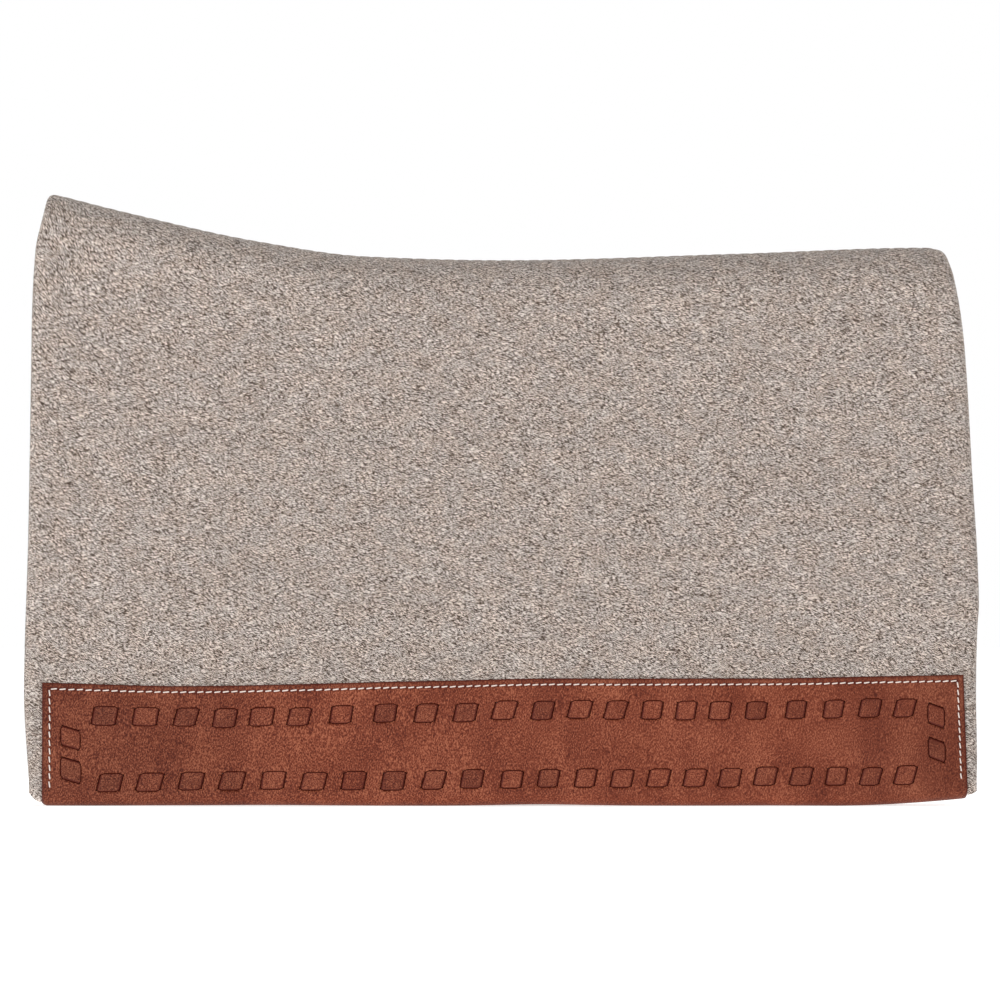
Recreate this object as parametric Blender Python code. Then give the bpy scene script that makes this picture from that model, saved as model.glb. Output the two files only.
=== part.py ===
"""A contoured Western saddle pad, standing like a tent on its two hems.

Frame, in metres: +X runs from the horse's withers to its loin, -Y is the near (left) side,
+Z is up, and z = 0 is the flat surface that both hems stand on.

Each half of the pad is a woven wool cover over a pressed felt core and a wool lining. The
halves are sewn together along the spine. The cover is rolled round the front and rear edges
onto the lining and sewn through there, and a wear leather folds round each hem. It is sewn
along its three free edges and laced with flat leather strips that weave through its slits.

A place in the pad is given by x, by its station from the spine down to the hem, and by its
depth n, which is measured square to the outside of the cover and grows inwards.
"""

import math

import bpy
from mathutils import Matrix, Vector

# Stance
LEAN = math.radians(9.0)  # each side's lean from the vertical
APEX_Z = 0.7023  # where the outer planes of the two sides would meet
HINGE_Z = 0.420  # height at which each side folds, on the outside of the cover
WEDGE = math.radians(10.5)  # gap inside each fold line, which lets the side close
FOLD_GAP = 0.0004  # gap at the outside of each fold line

# Layers
GAP = 0.0003
COVER = 0.0030
CORE = 0.0150
LINING = 0.0034
LEATHER = 0.0024
CORE_TOP = COVER + GAP
CORE_BOTTOM = CORE_TOP + CORE
LINING_TOP = CORE_BOTTOM + GAP
LINING_BOTTOM = LINING_TOP + LINING
LINING_PRESSED = 0.0003
ROLL_BOTTOM = LINING_BOTTOM + GAP + COVER  # inner side of the rolled edge

# Front and rear edges
ROLL_RADIUS = 0.009
ROLL_TURN_IN = 0.0105  # how far the rolled cover reaches over the lining
CORE_END_INSET = 0.0035
CORE_END_DEPTHS = (0.009, 0.016)
ROLL_STEPS = 3

# Outline: height of the spine along x, and the x of both edges by height
SPINE_LINE = (
    (-0.3890, 0.5230),
    (-0.3200, 0.5055),
    (-0.2060, 0.4805),
    (-0.1150, 0.4680),
    (0.0000, 0.4648),
    (0.2030, 0.4704),
    (0.3600, 0.4755),
    (0.3850, 0.4715),
)
FRONT_EDGE = (
    (0.010, -0.4026),
    (0.080, -0.4069),
    (0.227, -0.4034),
    (0.376, -0.4008),
    (0.449, -0.3984),
    (0.494, -0.3918),
    (0.522, -0.3858),
)
REAR_EDGE = (
    (0.010, 0.4042),
    (0.116, 0.4042),
    (0.144, 0.4046),
    (0.157, 0.4069),
    (0.198, 0.4057),
    (0.279, 0.4016),
    (0.394, 0.3948),
    (0.451, 0.3862),
    (0.474, 0.3770),
)
REAR_LIFT = 0.0075  # the hem curves up towards its rear corner
REAR_LIFT_START = 0.280
REAR_LIFT_END = 0.405

# Wear leather
LEATHER_FRONT = -0.3913
LEATHER_REAR_TOP = 0.3936
LEATHER_REAR_BOTTOM = 0.3974
LEATHER_REAR_INSIDE = 0.3925
LEATHER_EDGE = (
    (-0.3913, 0.1044),
    (-0.2700, 0.1020),
    (-0.0690, 0.1060),
    (0.0500, 0.1083),
    (0.2030, 0.1083),
    (0.3220, 0.1103),
    (0.3974, 0.1117),
)
HEM_RADIUS = 0.0028
HEM_STEPS = 3

# Lacing
LACE_WIDTH = 0.0162
LACE_THICKNESS = 0.0014
LACE_SHOWN = 0.0160  # length of each square on the outside of the leather
LACE_TUCK = 0.0060  # end of the strip, tucked under the leather
LACE_SLANT = 0.22
ROW_SQUARES = 22
PITCH_TAPER = 0.085  # the pitch shrinks by this share towards the rear
UPPER_ROW_ENDS = (-0.3385, 0.3442)
UPPER_ROW_DROP = 0.0275  # below the leather's top edge
LOWER_ROW_ENDS = (-0.3315, 0.3466)
LOWER_ROW_HEIGHTS = (0.0195, 0.0250)
FRONT_COLUMN = (-0.3669, (0.0300, 0.0575))
REAR_COLUMN = (0.3707, (0.0476, 0.0760))
GROOVE_DEPTH = 0.0017

# Sewing
THREAD = 0.0009
LEATHER_SEAM_INSET = 0.0052
LEATHER_SEAM_BOTTOM = (0.0145, 0.0220)
EDGE_SEAM_INSET = 0.0080
EDGE_SEAM_ENDS = {"front": 0.0140, "rear": 0.1200}  # the rear seam stops above the leather
EDGE_SEAM_FOLD_CLEARANCE = 0.008
SPINE_SEAM_STEP = 0.012
SPINE_SEAM_REACH = 0.0040
SPINE_SEAM_LIFT = 0.0005
SPINE_SEAM_END = 0.014

# Resolution
ARCH_STEPS = 7
SPINE_RUNS = 16
SIDE_RUNS = 6
LEATHER_RUNS = 12
SIDE_RINGS = (0.370, 0.300, 0.227, 0.157, 0.144, 0.080, 0.030)
RINGS_IN_LEATHER = 3  # the last two levels and the hem

COLOURS = {
    "cover": (0.413, 0.337, 0.296, 0.95, 0.0),
    "felt": (0.560, 0.520, 0.450, 0.98, 0.0),
    "lining": (0.620, 0.580, 0.500, 0.98, 0.0),
    "leather": (0.235, 0.066, 0.037, 0.55, 0.0),
    "lace": (0.190, 0.050, 0.028, 0.50, 0.0),
    "thread": (0.800, 0.720, 0.650, 0.70, 0.0),
    "wool_thread": (0.300, 0.240, 0.200, 0.85, 0.0),
}

NEAR = 1.0
OFF = -1.0
SIDES = (("near", NEAR), ("off", OFF))

HINGE_Y = -(APEX_Z - HINGE_Z) * math.tan(LEAN)
STACK_BOTTOM = LEATHER + GAP  # the layers end this far above the hem's underside


# ------------------------------------------------------------------ outline


def curve_slopes(points):
    """Slopes of a monotone cubic curve, zero at every turning point."""
    steps = [(b[1] - a[1]) / (b[0] - a[0]) for a, b in zip(points, points[1:])]
    slopes = [steps[0]]
    for before, after in zip(steps, steps[1:]):
        same_way = before * after > 0.0
        slopes.append(2.0 * before * after / (before + after) if same_way else 0.0)
    return slopes + [steps[-1]]


def curve_value(points, key):
    """Height of the smooth curve through the points; it ends in straight lines."""
    slopes = curve_slopes(points)
    if key <= points[0][0]:
        return points[0][1] + slopes[0] * (key - points[0][0])
    for (k0, v0), (k1, v1), s0, s1 in zip(points, points[1:], slopes, slopes[1:]):
        if key <= k1:
            span = k1 - k0
            t = (key - k0) / span
            rise = v0 * (2 * t**3 - 3 * t**2 + 1) + v1 * (3 * t**2 - 2 * t**3)
            return rise + span * (s0 * (t**3 - 2 * t**2 + t) + s1 * (t**3 - t**2))
    return points[-1][1] + slopes[-1] * (key - points[-1][0])


def spine_height(x):
    return curve_value(SPINE_LINE, x)


def front_x(z):
    return curve_value(FRONT_EDGE, z)


def rear_x(z):
    return curve_value(REAR_EDGE, z)


def hem_height(x):
    """Height of the hem's underside: flat, then curving up to the rear corner."""
    share = max(0.0, (x - REAR_LIFT_START) / (REAR_LIFT_END - REAR_LIFT_START))
    return REAR_LIFT * share**2


def leather_edge(x):
    return curve_value(LEATHER_EDGE, x)


# ------------------------------------------------------------------ places in the pad


def leg_length(z, n=0.0):
    """Distance down the side from the fold line to height z, at depth n."""
    return (HINGE_Z - z - n * math.sin(LEAN)) / math.cos(LEAN)


def leg_point(x, down, n):
    """A place on the near side, a distance down from its fold line."""
    y = HINGE_Y - down * math.sin(LEAN) + n * math.cos(LEAN)
    z = HINGE_Z - down * math.cos(LEAN) - n * math.sin(LEAN)
    return Vector((x, y, z))


def arch(x):
    """Radius and centre height of the outer arch over the spine at x."""
    radius = (APEX_Z - spine_height(x)) / (1.0 / math.sin(LEAN) - 1.0)
    return radius, APEX_Z - radius / math.sin(LEAN)


def arch_point(x, turn, n):
    """A place on the near half of the arch, turned from the crest."""
    radius, centre_z = arch(x)
    y = -(radius - n) * math.sin(turn)
    return Vector((x, min(y, -GAP / 2), centre_z + (radius - n) * math.cos(turn)))


def arch_station(turn):
    return lambda x, n: arch_point(x, turn, n)


def neck_station(share):
    """Between the foot of the arch and the spine's own face at the fold line."""

    def place(x, n):
        radius, centre_z = arch(x)
        foot = leg_length(centre_z + radius * math.sin(LEAN))
        face = -FOLD_GAP / 2 - n * math.tan(WEDGE / 2)
        return leg_point(x, foot + (face - foot) * share, n)

    return place


def fold_station():
    """The side's own face at the fold line."""
    return lambda x, n: leg_point(x, FOLD_GAP / 2 + n * math.tan(WEDGE / 2), n)


def level_station(height):
    """A level cut through the side."""
    return lambda x, n: leg_point(x, leg_length(height, n), n)


def hem_station(clearance):
    """The layers' lower ends, which follow the hem."""
    return lambda x, n: leg_point(x, leg_length(hem_height(x) + clearance, n), n)


def spine_stations():
    quarter = math.pi / 2 - LEAN
    turns = [quarter * step / ARCH_STEPS for step in range(ARCH_STEPS + 1)]
    return [arch_station(turn) for turn in turns] + [neck_station(0.5), neck_station(1.0)]


def side_stations():
    levels = [level_station(height) for height in SIDE_RINGS]
    return [fold_station()] + levels + [hem_station(STACK_BOTTOM)]


def edges_at(station):
    """Front and rear x of the pad's outline at a station."""
    front_z = station(FRONT_EDGE[-1][1], 0.0).z
    rear_z = station(REAR_EDGE[-1][1], 0.0).z
    return front_x(front_z), rear_x(rear_z)


def run_positions(front, rear, runs):
    """Positions along x of the flat run between the two rolled edges."""
    start = front + ROLL_RADIUS
    stop = rear - ROLL_RADIUS
    return [start + (stop - start) * index / runs for index in range(runs + 1)]


# ------------------------------------------------------------------ mesh building


def make_material(slot):
    material = bpy.data.materials.get(slot)
    if material is None:
        red, green, blue, roughness, metallic = COLOURS[slot]
        material = bpy.data.materials.new(slot)
        material.use_nodes = True
        shader = material.node_tree.nodes["Principled BSDF"]
        shader.inputs["Base Color"].default_value = (red, green, blue, 1.0)
        shader.inputs["Roughness"].default_value = roughness
        shader.inputs["Metallic"].default_value = metallic
    return material


def signed_volume(points, faces):
    total = 0.0
    for face in faces:
        corners = [points[index] for index in face]
        for second, third in zip(corners[1:], corners[2:]):
            total += corners[0].dot(second.cross(third))
    return total


def add_object(name, points, faces, slot, parent=None):
    """A closed mesh facing outwards, hung from its fold line's empty if it has one."""
    if signed_volume(points, faces) < 0.0:
        faces = [tuple(reversed(face)) for face in faces]
    mesh = bpy.data.meshes.new(name)
    mesh.from_pydata(points, [], faces)
    mesh.materials.append(make_material(slot))
    obj = bpy.data.objects.new(name, mesh)
    bpy.context.scene.collection.objects.link(obj)
    if parent is not None:
        obj.parent = parent
        obj.matrix_parent_inverse = Matrix.Translation(-parent.location)
    return obj


def mirrored(grid, side):
    """The near half's places, or their mirror image for the off half."""
    return [[Vector((p.x, p.y * side, p.z)) for p in row] for row in grid]


def thick_sheet(name, outer, inner, slot, parent=None):
    """A closed sheet between two grids of the same size, outer[row][column]."""
    rows = len(outer)
    columns = len(outer[0])
    points = [p for row in outer for p in row] + [p for row in inner for p in row]
    below = rows * columns

    def spot(row, column):
        return row * columns + column

    faces = []
    for row in range(rows - 1):
        for column in range(columns - 1):
            a, b = spot(row, column), spot(row, column + 1)
            c, d = spot(row + 1, column + 1), spot(row + 1, column)
            faces.append((a, b, c, d))
            faces.append((below + d, below + c, below + b, below + a))
    border = [spot(0, column) for column in range(columns)]
    border += [spot(row, columns - 1) for row in range(1, rows)]
    border += [spot(rows - 1, column) for column in reversed(range(columns - 1))]
    border += [spot(row, 0) for row in reversed(range(1, rows - 1))]
    for a, b in zip(border, border[1:] + border[:1]):
        faces.append((b, a, below + a, below + b))
    return add_object(name, points, faces, slot, parent)


# ------------------------------------------------------------------ layers


def roll_profile():
    """The rolled edge as (inset, depth) pairs outside and inside, from its tip outwards."""
    quarter = [math.pi / 2 * step / ROLL_STEPS for step in range(ROLL_STEPS + 1)]
    profile = [((ROLL_TURN_IN, ROLL_BOTTOM), (ROLL_TURN_IN, ROLL_BOTTOM - COVER))]
    for centre_depth, phase in ((ROLL_BOTTOM - ROLL_RADIUS, 0.0), (ROLL_RADIUS, math.pi / 2)):
        for angle in quarter:
            pair = []
            for radius in (ROLL_RADIUS, ROLL_RADIUS - COVER):
                inset = ROLL_RADIUS - radius * math.sin(angle + phase)
                pair.append((inset, centre_depth + radius * math.cos(angle + phase)))
            profile.append(tuple(pair))
    return profile


def cover_row(station, runs, surface):
    """One ring of the cover from the front tip to the rear tip; surface 0 is its outside."""
    front, rear = edges_at(station)
    roll = [pair[surface] for pair in roll_profile()]
    depth = COVER * surface
    row = [station(front + inset, n) for inset, n in roll]
    row += [station(x, depth) for x in run_positions(front, rear, runs)[1:-1]]
    return row + [station(rear - inset, n) for inset, n in reversed(roll)]


def build_cover(name, stations, runs, side, parent=None):
    outer = mirrored([cover_row(station, runs, 0) for station in stations], side)
    inner = mirrored([cover_row(station, runs, 1) for station in stations], side)
    return thick_sheet(name, outer, inner, "cover", parent)


def core_row(station, runs, surface):
    front, rear = edges_at(station)
    depth = (CORE_TOP, CORE_BOTTOM)[surface]
    end_depth = CORE_END_DEPTHS[surface]
    row = [station(front + CORE_END_INSET, end_depth)]
    row += [station(x, depth) for x in run_positions(front, rear, runs)]
    return row + [station(rear - CORE_END_INSET, end_depth)]


def build_core(name, stations, runs, side, parent=None):
    outer = mirrored([core_row(station, runs, 0) for station in stations], side)
    inner = mirrored([core_row(station, runs, 1) for station in stations], side)
    return thick_sheet(name, outer, inner, "felt", parent)


def lining_row(station, runs, depth, end_depth):
    front, rear = edges_at(station)
    positions = run_positions(front, rear, runs)
    row = [station(x, depth) for x in positions[1:-1]]
    return [station(positions[0], end_depth)] + row + [station(positions[-1], end_depth)]


def build_lining(name, stations, runs, side, parent=None, rows_in_leather=0):
    """The lining is pressed thinner under the rolled edges and inside the wear leather."""
    pressed = LINING_BOTTOM - LINING_PRESSED
    open_rows = len(stations) - rows_in_leather
    outer = []
    inner = []
    for index, station in enumerate(stations):
        depth = LINING_BOTTOM if index < open_rows else pressed
        outer.append(lining_row(station, runs, LINING_TOP, LINING_TOP))
        inner.append(lining_row(station, runs, depth, pressed))
    return thick_sheet(name, mirrored(outer, side), mirrored(inner, side), "lining", parent)


# ------------------------------------------------------------------ wear leather


def fillet(before, corner, after, radius):
    """Points of the arc that rounds a corner between two straight runs."""
    to_before = (before - corner).normalized()
    to_after = (after - corner).normalized()
    half = to_before.angle(to_after) / 2
    centre = corner + (to_before + to_after).normalized() * (radius / math.sin(half))
    reach = radius / math.tan(half)
    first = corner + to_before * reach - centre
    last = corner + to_after * reach - centre
    turn = first.angle(last)
    arc = []
    for step in range(HEM_STEPS + 1):
        share = step / HEM_STEPS
        weights = (math.sin((1 - share) * turn), math.sin(share * turn))
        arc.append(centre + (first * weights[0] + last * weights[1]) / math.sin(turn))
    return arc


def leather_place(height, n):
    """A point of the leather's cross-section, as a vector in the plane of y and z."""
    place = level_station(height)(0.0, n)
    return Vector((0.0, place.y, place.z))


def leather_row(share, inset):
    """The U-shaped section of the wear leather at a share of its length."""
    nominal_x = LEATHER_FRONT + (LEATHER_REAR_TOP - LEATHER_FRONT) * share
    outside = -GAP - LEATHER + inset
    inside = LINING_BOTTOM + GAP + LEATHER - inset
    edge = leather_edge(nominal_x)
    low = hem_height(nominal_x) + inset
    corners = (
        leather_place(edge, outside),
        leather_place(low, outside),
        leather_place(low, inside),
        leather_place(edge, inside),
    )
    radius = HEM_RADIUS - inset
    outer_turn = fillet(corners[0], corners[1], corners[2], radius)
    inner_turn = fillet(corners[1], corners[2], corners[3], radius)
    section = [corners[0]] + outer_turn + inner_turn + [corners[3]]
    rears = [LEATHER_REAR_TOP] + [LEATHER_REAR_BOTTOM] * len(outer_turn)
    rears += [LEATHER_REAR_INSIDE] * (len(inner_turn) + 1)
    row = []
    for place, rear in zip(section, rears):
        x = LEATHER_FRONT + (rear - LEATHER_FRONT) * share
        row.append(Vector((x, place.y, place.z)))
    return row


def build_leather(name, side, parent):
    shares = [index / LEATHER_RUNS for index in range(LEATHER_RUNS + 1)]
    outer = mirrored([leather_row(share, 0.0) for share in shares], side)
    inner = mirrored([leather_row(share, LEATHER) for share in shares], side)
    return thick_sheet(name, outer, inner, "leather", parent)


# ------------------------------------------------------------------ lacing


def row_centres(ends):
    """Centres of a row's squares, whose pitch shrinks slightly towards the rear."""
    centres = []
    for index in range(ROW_SQUARES):
        share = index / (ROW_SQUARES - 1)
        eased = share * (1.0 + PITCH_TAPER) - PITCH_TAPER * share**2
        centres.append(ends[0] + (ends[1] - ends[0]) * eased)
    return centres


def row_place(height_at):
    """Places on a strip that runs along x; along is x, across points up."""

    def place(along, across, n):
        height = height_at(along)
        x = along + LACE_SLANT * across
        return leg_point(x, leg_length(height) - across, n)

    return place


def column_place(x_centre):
    """Places on a strip that runs up the side; along is height, across points to the rear."""

    def place(along, across, n):
        height = along - LACE_SLANT * across
        return leg_point(x_centre + across, leg_length(height), n)

    return place


def upper_row_height(x):
    return leather_edge(x) - UPPER_ROW_DROP


def lower_row_height(x):
    share = (x - LOWER_ROW_ENDS[0]) / (LOWER_ROW_ENDS[1] - LOWER_ROW_ENDS[0])
    return LOWER_ROW_HEIGHTS[0] + (LOWER_ROW_HEIGHTS[1] - LOWER_ROW_HEIGHTS[0]) * share


def lace_strips():
    """The four strips of one side: name, place on the strip, and its squares' centres."""
    return (
        ("lace_upper", row_place(upper_row_height), row_centres(UPPER_ROW_ENDS)),
        ("lace_lower", row_place(lower_row_height), row_centres(LOWER_ROW_ENDS)),
        ("lace_front", column_place(FRONT_COLUMN[0]), FRONT_COLUMN[1]),
        ("lace_rear", column_place(REAR_COLUMN[0]), REAR_COLUMN[1]),
    )


def lace_path(centres):
    """The strip's two surfaces as (along, depth) pairs, over and under the leather."""
    half = LACE_THICKNESS / 2
    under = half
    over = -GAP - LEATHER - GAP - half
    start = centres[0] - LACE_SHOWN / 2 - LACE_TUCK
    stop = centres[-1] + LACE_SHOWN / 2 + LACE_TUCK
    outer = [(start, under - half)]
    inner = [(start, under + half)]
    for centre in centres:
        rise = centre - LACE_SHOWN / 2
        fall = centre + LACE_SHOWN / 2
        outer += [(rise - half, under - half), (rise - half, over - half)]
        inner += [(rise + half, under + half), (rise + half, over + half)]
        outer += [(fall + half, over - half), (fall + half, under - half)]
        inner += [(fall - half, over + half), (fall - half, under + half)]
    outer.append((stop, under - half))
    inner.append((stop, under + half))
    return outer, inner


def build_lace(name, place, centres, side, parent):
    outer_path, inner_path = lace_path(centres)
    widths = (-LACE_WIDTH / 2, LACE_WIDTH / 2)
    outer = [[place(along, across, n) for along, n in outer_path] for across in widths]
    inner = [[place(along, across, n) for along, n in inner_path] for across in widths]
    return thick_sheet(name, mirrored(outer, side), mirrored(inner, side), "lace", parent)


def slit_block(place, along, side):
    """Corners of the slot that a strip passes through, in thick_sheet's order."""
    half_length = LACE_THICKNESS / 2 + GAP
    half_width = LACE_WIDTH / 2 + GAP
    depths = (-LEATHER - 3 * GAP, GAP)
    grids = []
    for n in depths:
        rows = [
            [place(along + a, across, n) for a in (-half_length, half_length)]
            for across in (-half_width, half_width)
        ]
        grids.append(mirrored(rows, side))
    return grids


def groove_block(place, centres, side):
    """Corners of the pressed groove in the cover that a strip lies in."""
    reach = LACE_SHOWN / 2 + LACE_TUCK + GAP
    half_width = LACE_WIDTH / 2 + GAP
    grids = []
    for n in (-GAP, GROOVE_DEPTH):
        stops = [centres[0] - reach] + list(centres) + [centres[-1] + reach]
        rows = [[place(along, across, n) for along in stops] for across in (-half_width, half_width)]
        grids.append(mirrored(rows, side))
    return grids


def cut(target, blocks, name):
    """Cut several blocks out of a target with one exact Boolean."""
    cutter = None
    for index, (outer, inner) in enumerate(blocks):
        piece = thick_sheet(f"{name}_{index}", outer, inner, "felt", target.parent)
        if cutter is None:
            cutter = piece
        else:
            join_mesh(cutter, piece)
    cutter.hide_render = True
    cutter.display_type = "WIRE"
    boolean = target.modifiers.new(name, "BOOLEAN")
    boolean.operation = "DIFFERENCE"
    boolean.solver = "EXACT"
    boolean.object = cutter


def join_mesh(cutter, piece):
    """Move a piece's faces into the cutter's mesh, where they stay a block of their own."""
    points = [v.co.copy() for v in cutter.data.vertices]
    faces = [tuple(polygon.vertices) for polygon in cutter.data.polygons]
    first = len(points)
    points += [v.co.copy() for v in piece.data.vertices]
    faces += [tuple(first + v for v in polygon.vertices) for polygon in piece.data.polygons]
    cutter.data.clear_geometry()
    cutter.data.from_pydata(points, [], faces)
    bpy.data.objects.remove(piece)


# ------------------------------------------------------------------ sewing


def seam_sides(path):
    """The two long edges of a thread laid along a path of (x, down) places on a side."""
    left = []
    right = []
    for index, place in enumerate(path):
        before = path[max(index - 1, 0)]
        after = path[min(index + 1, len(path) - 1)]
        into = (place - before).normalized() if index else (after - place).normalized()
        out = (after - place).normalized() if index < len(path) - 1 else into
        along = (into + out).normalized()
        across = Vector((-along.y, along.x)) * (THREAD / 2 / along.dot(out))
        left.append(place + across)
        right.append(place - across)
    return left, right


def leather_seam_path(top_edge, bottom_edge):
    """Up the front, along the top and down the rear of a flap with that rear edge."""
    front = LEATHER_FRONT + LEATHER_SEAM_INSET
    rear_top = top_edge - LEATHER_SEAM_INSET
    rear_bottom = bottom_edge - LEATHER_SEAM_INSET
    path = [Vector((front, leg_length(LEATHER_SEAM_BOTTOM[0])))]
    for index in range(LEATHER_RUNS + 1):
        x = front + (rear_top - front) * index / LEATHER_RUNS
        path.append(Vector((x, leg_length(leather_edge(x) - LEATHER_SEAM_INSET))))
    path.append(Vector((rear_bottom, leg_length(LEATHER_SEAM_BOTTOM[1]))))
    return path


def build_leather_seam(name, path, depth, side, parent):
    sides = seam_sides(path)
    grids = []
    for n in (depth, depth + THREAD):
        grids.append(mirrored([[leg_point(p.x, p.y, n) for p in line] for line in sides], side))
    return thick_sheet(name, grids[0], grids[1], "thread", parent)


def edge_seam_rows(stations, edge, depth):
    """Two rows of places along a rolled edge, a thread's width apart."""
    rows = []
    for shift in (-THREAD / 2, THREAD / 2):
        row = []
        for station in stations:
            front, rear = edges_at(station)
            x = rear - EDGE_SEAM_INSET if edge == "rear" else front + EDGE_SEAM_INSET
            row.append(station(x + shift, depth))
        rows.append(row)
    return rows


def side_seam_stations(edge):
    """Just below the fold line down to the seam's end."""
    end = EDGE_SEAM_ENDS[edge]
    heights = [HINGE_Z - EDGE_SEAM_FOLD_CLEARANCE] + [z for z in SIDE_RINGS if z > end]
    return [level_station(height) for height in heights + [end]]


def build_side_edge_seam(name, edge, depth, side, parent):
    stations = side_seam_stations(edge)
    outer = mirrored(edge_seam_rows(stations, edge, depth), side)
    inner = mirrored(edge_seam_rows(stations, edge, depth + THREAD), side)
    return thick_sheet(name, outer, inner, "wool_thread", parent)


def over_the_spine(rows):
    """Near places from the fold line up to the crest, then their mirror images down."""
    joined = []
    for row in rows:
        crest = Vector((row[0].x, 0.0, row[0].z))
        near = list(reversed(row[1:]))
        off = [Vector((p.x, -p.y, p.z)) for p in row[1:]]
        joined.append(near + [crest] + off)
    return joined


def build_spine_edge_seam(name, edge, depth):
    stations = spine_stations()[:-1]
    outer = over_the_spine(edge_seam_rows(stations, edge, depth))
    inner = over_the_spine(edge_seam_rows(stations, edge, depth + THREAD))
    return thick_sheet(name, outer, inner, "wool_thread")


def crest_place(positions, x, y, n):
    """A place beside the crest, on the straight facets between the cover's positions."""
    span = positions[1] - positions[0]
    index = min(int((x - positions[0]) / span), len(positions) - 2)
    share = (x - positions[index]) / span
    heights = []
    for end in (positions[index], positions[index + 1]):
        radius, centre_z = arch(end)
        heights.append(centre_z + math.sqrt((radius - n) ** 2 - y**2))
    return Vector((x, y, heights[0] + (heights[1] - heights[0]) * share))


def build_spine_seam(name, depth):
    """A zigzag thread that joins the two halves along the spine."""
    front, rear = edges_at(arch_station(0.0))
    positions = run_positions(front, rear, SPINE_RUNS)
    start = front + SPINE_SEAM_END
    steps = round((rear - SPINE_SEAM_END - start) / SPINE_SEAM_STEP)
    grids = []
    for n in (depth, depth + THREAD):
        rows = []
        for shift in (-THREAD / 2, THREAD / 2):
            row = []
            for index in range(steps + 1):
                x = start + SPINE_SEAM_STEP * index
                y = SPINE_SEAM_REACH if index % 2 else -SPINE_SEAM_REACH
                row.append(crest_place(positions, x, y + shift, n))
            rows.append(row)
        grids.append(rows)
    return thick_sheet(name, grids[0], grids[1], "thread")


# ------------------------------------------------------------------ assembly


def clear_scene():
    for obj in list(bpy.data.objects):
        bpy.data.objects.remove(obj)


def build_spine():
    stations = spine_stations()
    for name, side in SIDES:
        build_cover(f"{name}_cover_top", stations, SPINE_RUNS, side)
        build_core(f"{name}_core_top", stations, SPINE_RUNS, side)
        build_lining(f"{name}_lining_top", stations, SPINE_RUNS, side)
    build_spine_seam("spine_seam_thread", -SPINE_SEAM_LIFT - THREAD)
    build_spine_seam("spine_seam_bobbin", LINING_BOTTOM + SPINE_SEAM_LIFT)
    for edge in EDGE_SEAM_ENDS:
        build_spine_edge_seam(f"{edge}_edge_thread_top", edge, -GAP - THREAD)
        build_spine_edge_seam(f"{edge}_edge_bobbin_top", edge, ROLL_BOTTOM + GAP)


def build_side(name, side):
    """Every piece of one side, hung from an empty on its fold line."""
    fold = bpy.data.objects.new(f"{name}_fold_line", None)
    fold.location = (0.0, HINGE_Y * side, HINGE_Z)
    bpy.context.scene.collection.objects.link(fold)
    stations = side_stations()
    cover = build_cover(f"{name}_cover", stations, SIDE_RUNS, side, fold)
    build_core(f"{name}_core", stations, SIDE_RUNS, side, fold)
    build_lining(f"{name}_lining", stations, SIDE_RUNS, side, fold, RINGS_IN_LEATHER)
    leather = build_leather(f"{name}_wear_leather", side, fold)
    slits = []
    grooves = []
    for strip, place, centres in lace_strips():
        build_lace(f"{name}_{strip}", place, centres, side, fold)
        grooves.append(groove_block(place, centres, side))
        for centre in centres:
            for end in (-LACE_SHOWN / 2, LACE_SHOWN / 2):
                slits.append(slit_block(place, centre + end, side))
    cut(leather, slits, f"{name}_slit_cutter")
    cut(cover, grooves, f"{name}_groove_cutter")
    outside = -GAP - LEATHER - GAP - THREAD
    inside = LINING_BOTTOM + GAP + LEATHER + GAP
    outer_path = leather_seam_path(LEATHER_REAR_TOP, LEATHER_REAR_BOTTOM)
    inner_path = leather_seam_path(LEATHER_REAR_INSIDE, LEATHER_REAR_INSIDE)
    build_leather_seam(f"{name}_leather_thread", outer_path, outside, side, fold)
    build_leather_seam(f"{name}_leather_bobbin", inner_path, inside, side, fold)
    for edge in EDGE_SEAM_ENDS:
        build_side_edge_seam(f"{name}_{edge}_edge_thread", edge, -GAP - THREAD, side, fold)
        build_side_edge_seam(f"{name}_{edge}_edge_bobbin", edge, ROLL_BOTTOM + GAP, side, fold)


def main():
    clear_scene()
    build_spine()
    for name, side in SIDES:
        build_side(name, side)


main()
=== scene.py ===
"""The looks of a contoured Western saddle pad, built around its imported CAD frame.

Frame, in metres: +X runs from the withers to the loin, -Y is the near side, +Z is up. A place
in the pad is given by x, by its distance down a side from the fold line (negative above it),
and by its depth n, measured square to the outside of the cover and growing inwards.
"""

import math
import random

import bmesh
import bpy
import numpy as np
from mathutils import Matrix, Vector


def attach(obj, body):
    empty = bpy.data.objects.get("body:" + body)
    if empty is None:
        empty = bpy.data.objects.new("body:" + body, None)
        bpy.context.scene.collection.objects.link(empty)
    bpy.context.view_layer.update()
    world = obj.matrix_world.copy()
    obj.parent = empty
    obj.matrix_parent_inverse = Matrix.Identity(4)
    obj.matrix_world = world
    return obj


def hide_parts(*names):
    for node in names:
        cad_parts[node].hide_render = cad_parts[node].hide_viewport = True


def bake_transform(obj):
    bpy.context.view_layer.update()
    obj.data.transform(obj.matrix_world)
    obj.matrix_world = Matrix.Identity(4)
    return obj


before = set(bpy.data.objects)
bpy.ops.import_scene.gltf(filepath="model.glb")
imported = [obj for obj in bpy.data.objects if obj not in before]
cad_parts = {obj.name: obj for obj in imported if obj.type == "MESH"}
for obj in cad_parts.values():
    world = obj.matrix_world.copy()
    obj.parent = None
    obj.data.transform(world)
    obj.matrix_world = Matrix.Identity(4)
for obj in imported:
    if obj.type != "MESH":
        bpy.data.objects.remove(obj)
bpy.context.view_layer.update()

# Stance
LEAN = math.radians(9.0)
APEX_Z = 0.7023
HINGE_Z = 0.420
SIN, COS, TAN = math.sin(LEAN), math.cos(LEAN), math.tan(LEAN)
HINGE_Y = -(APEX_Z - HINGE_Z) * TAN
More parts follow.
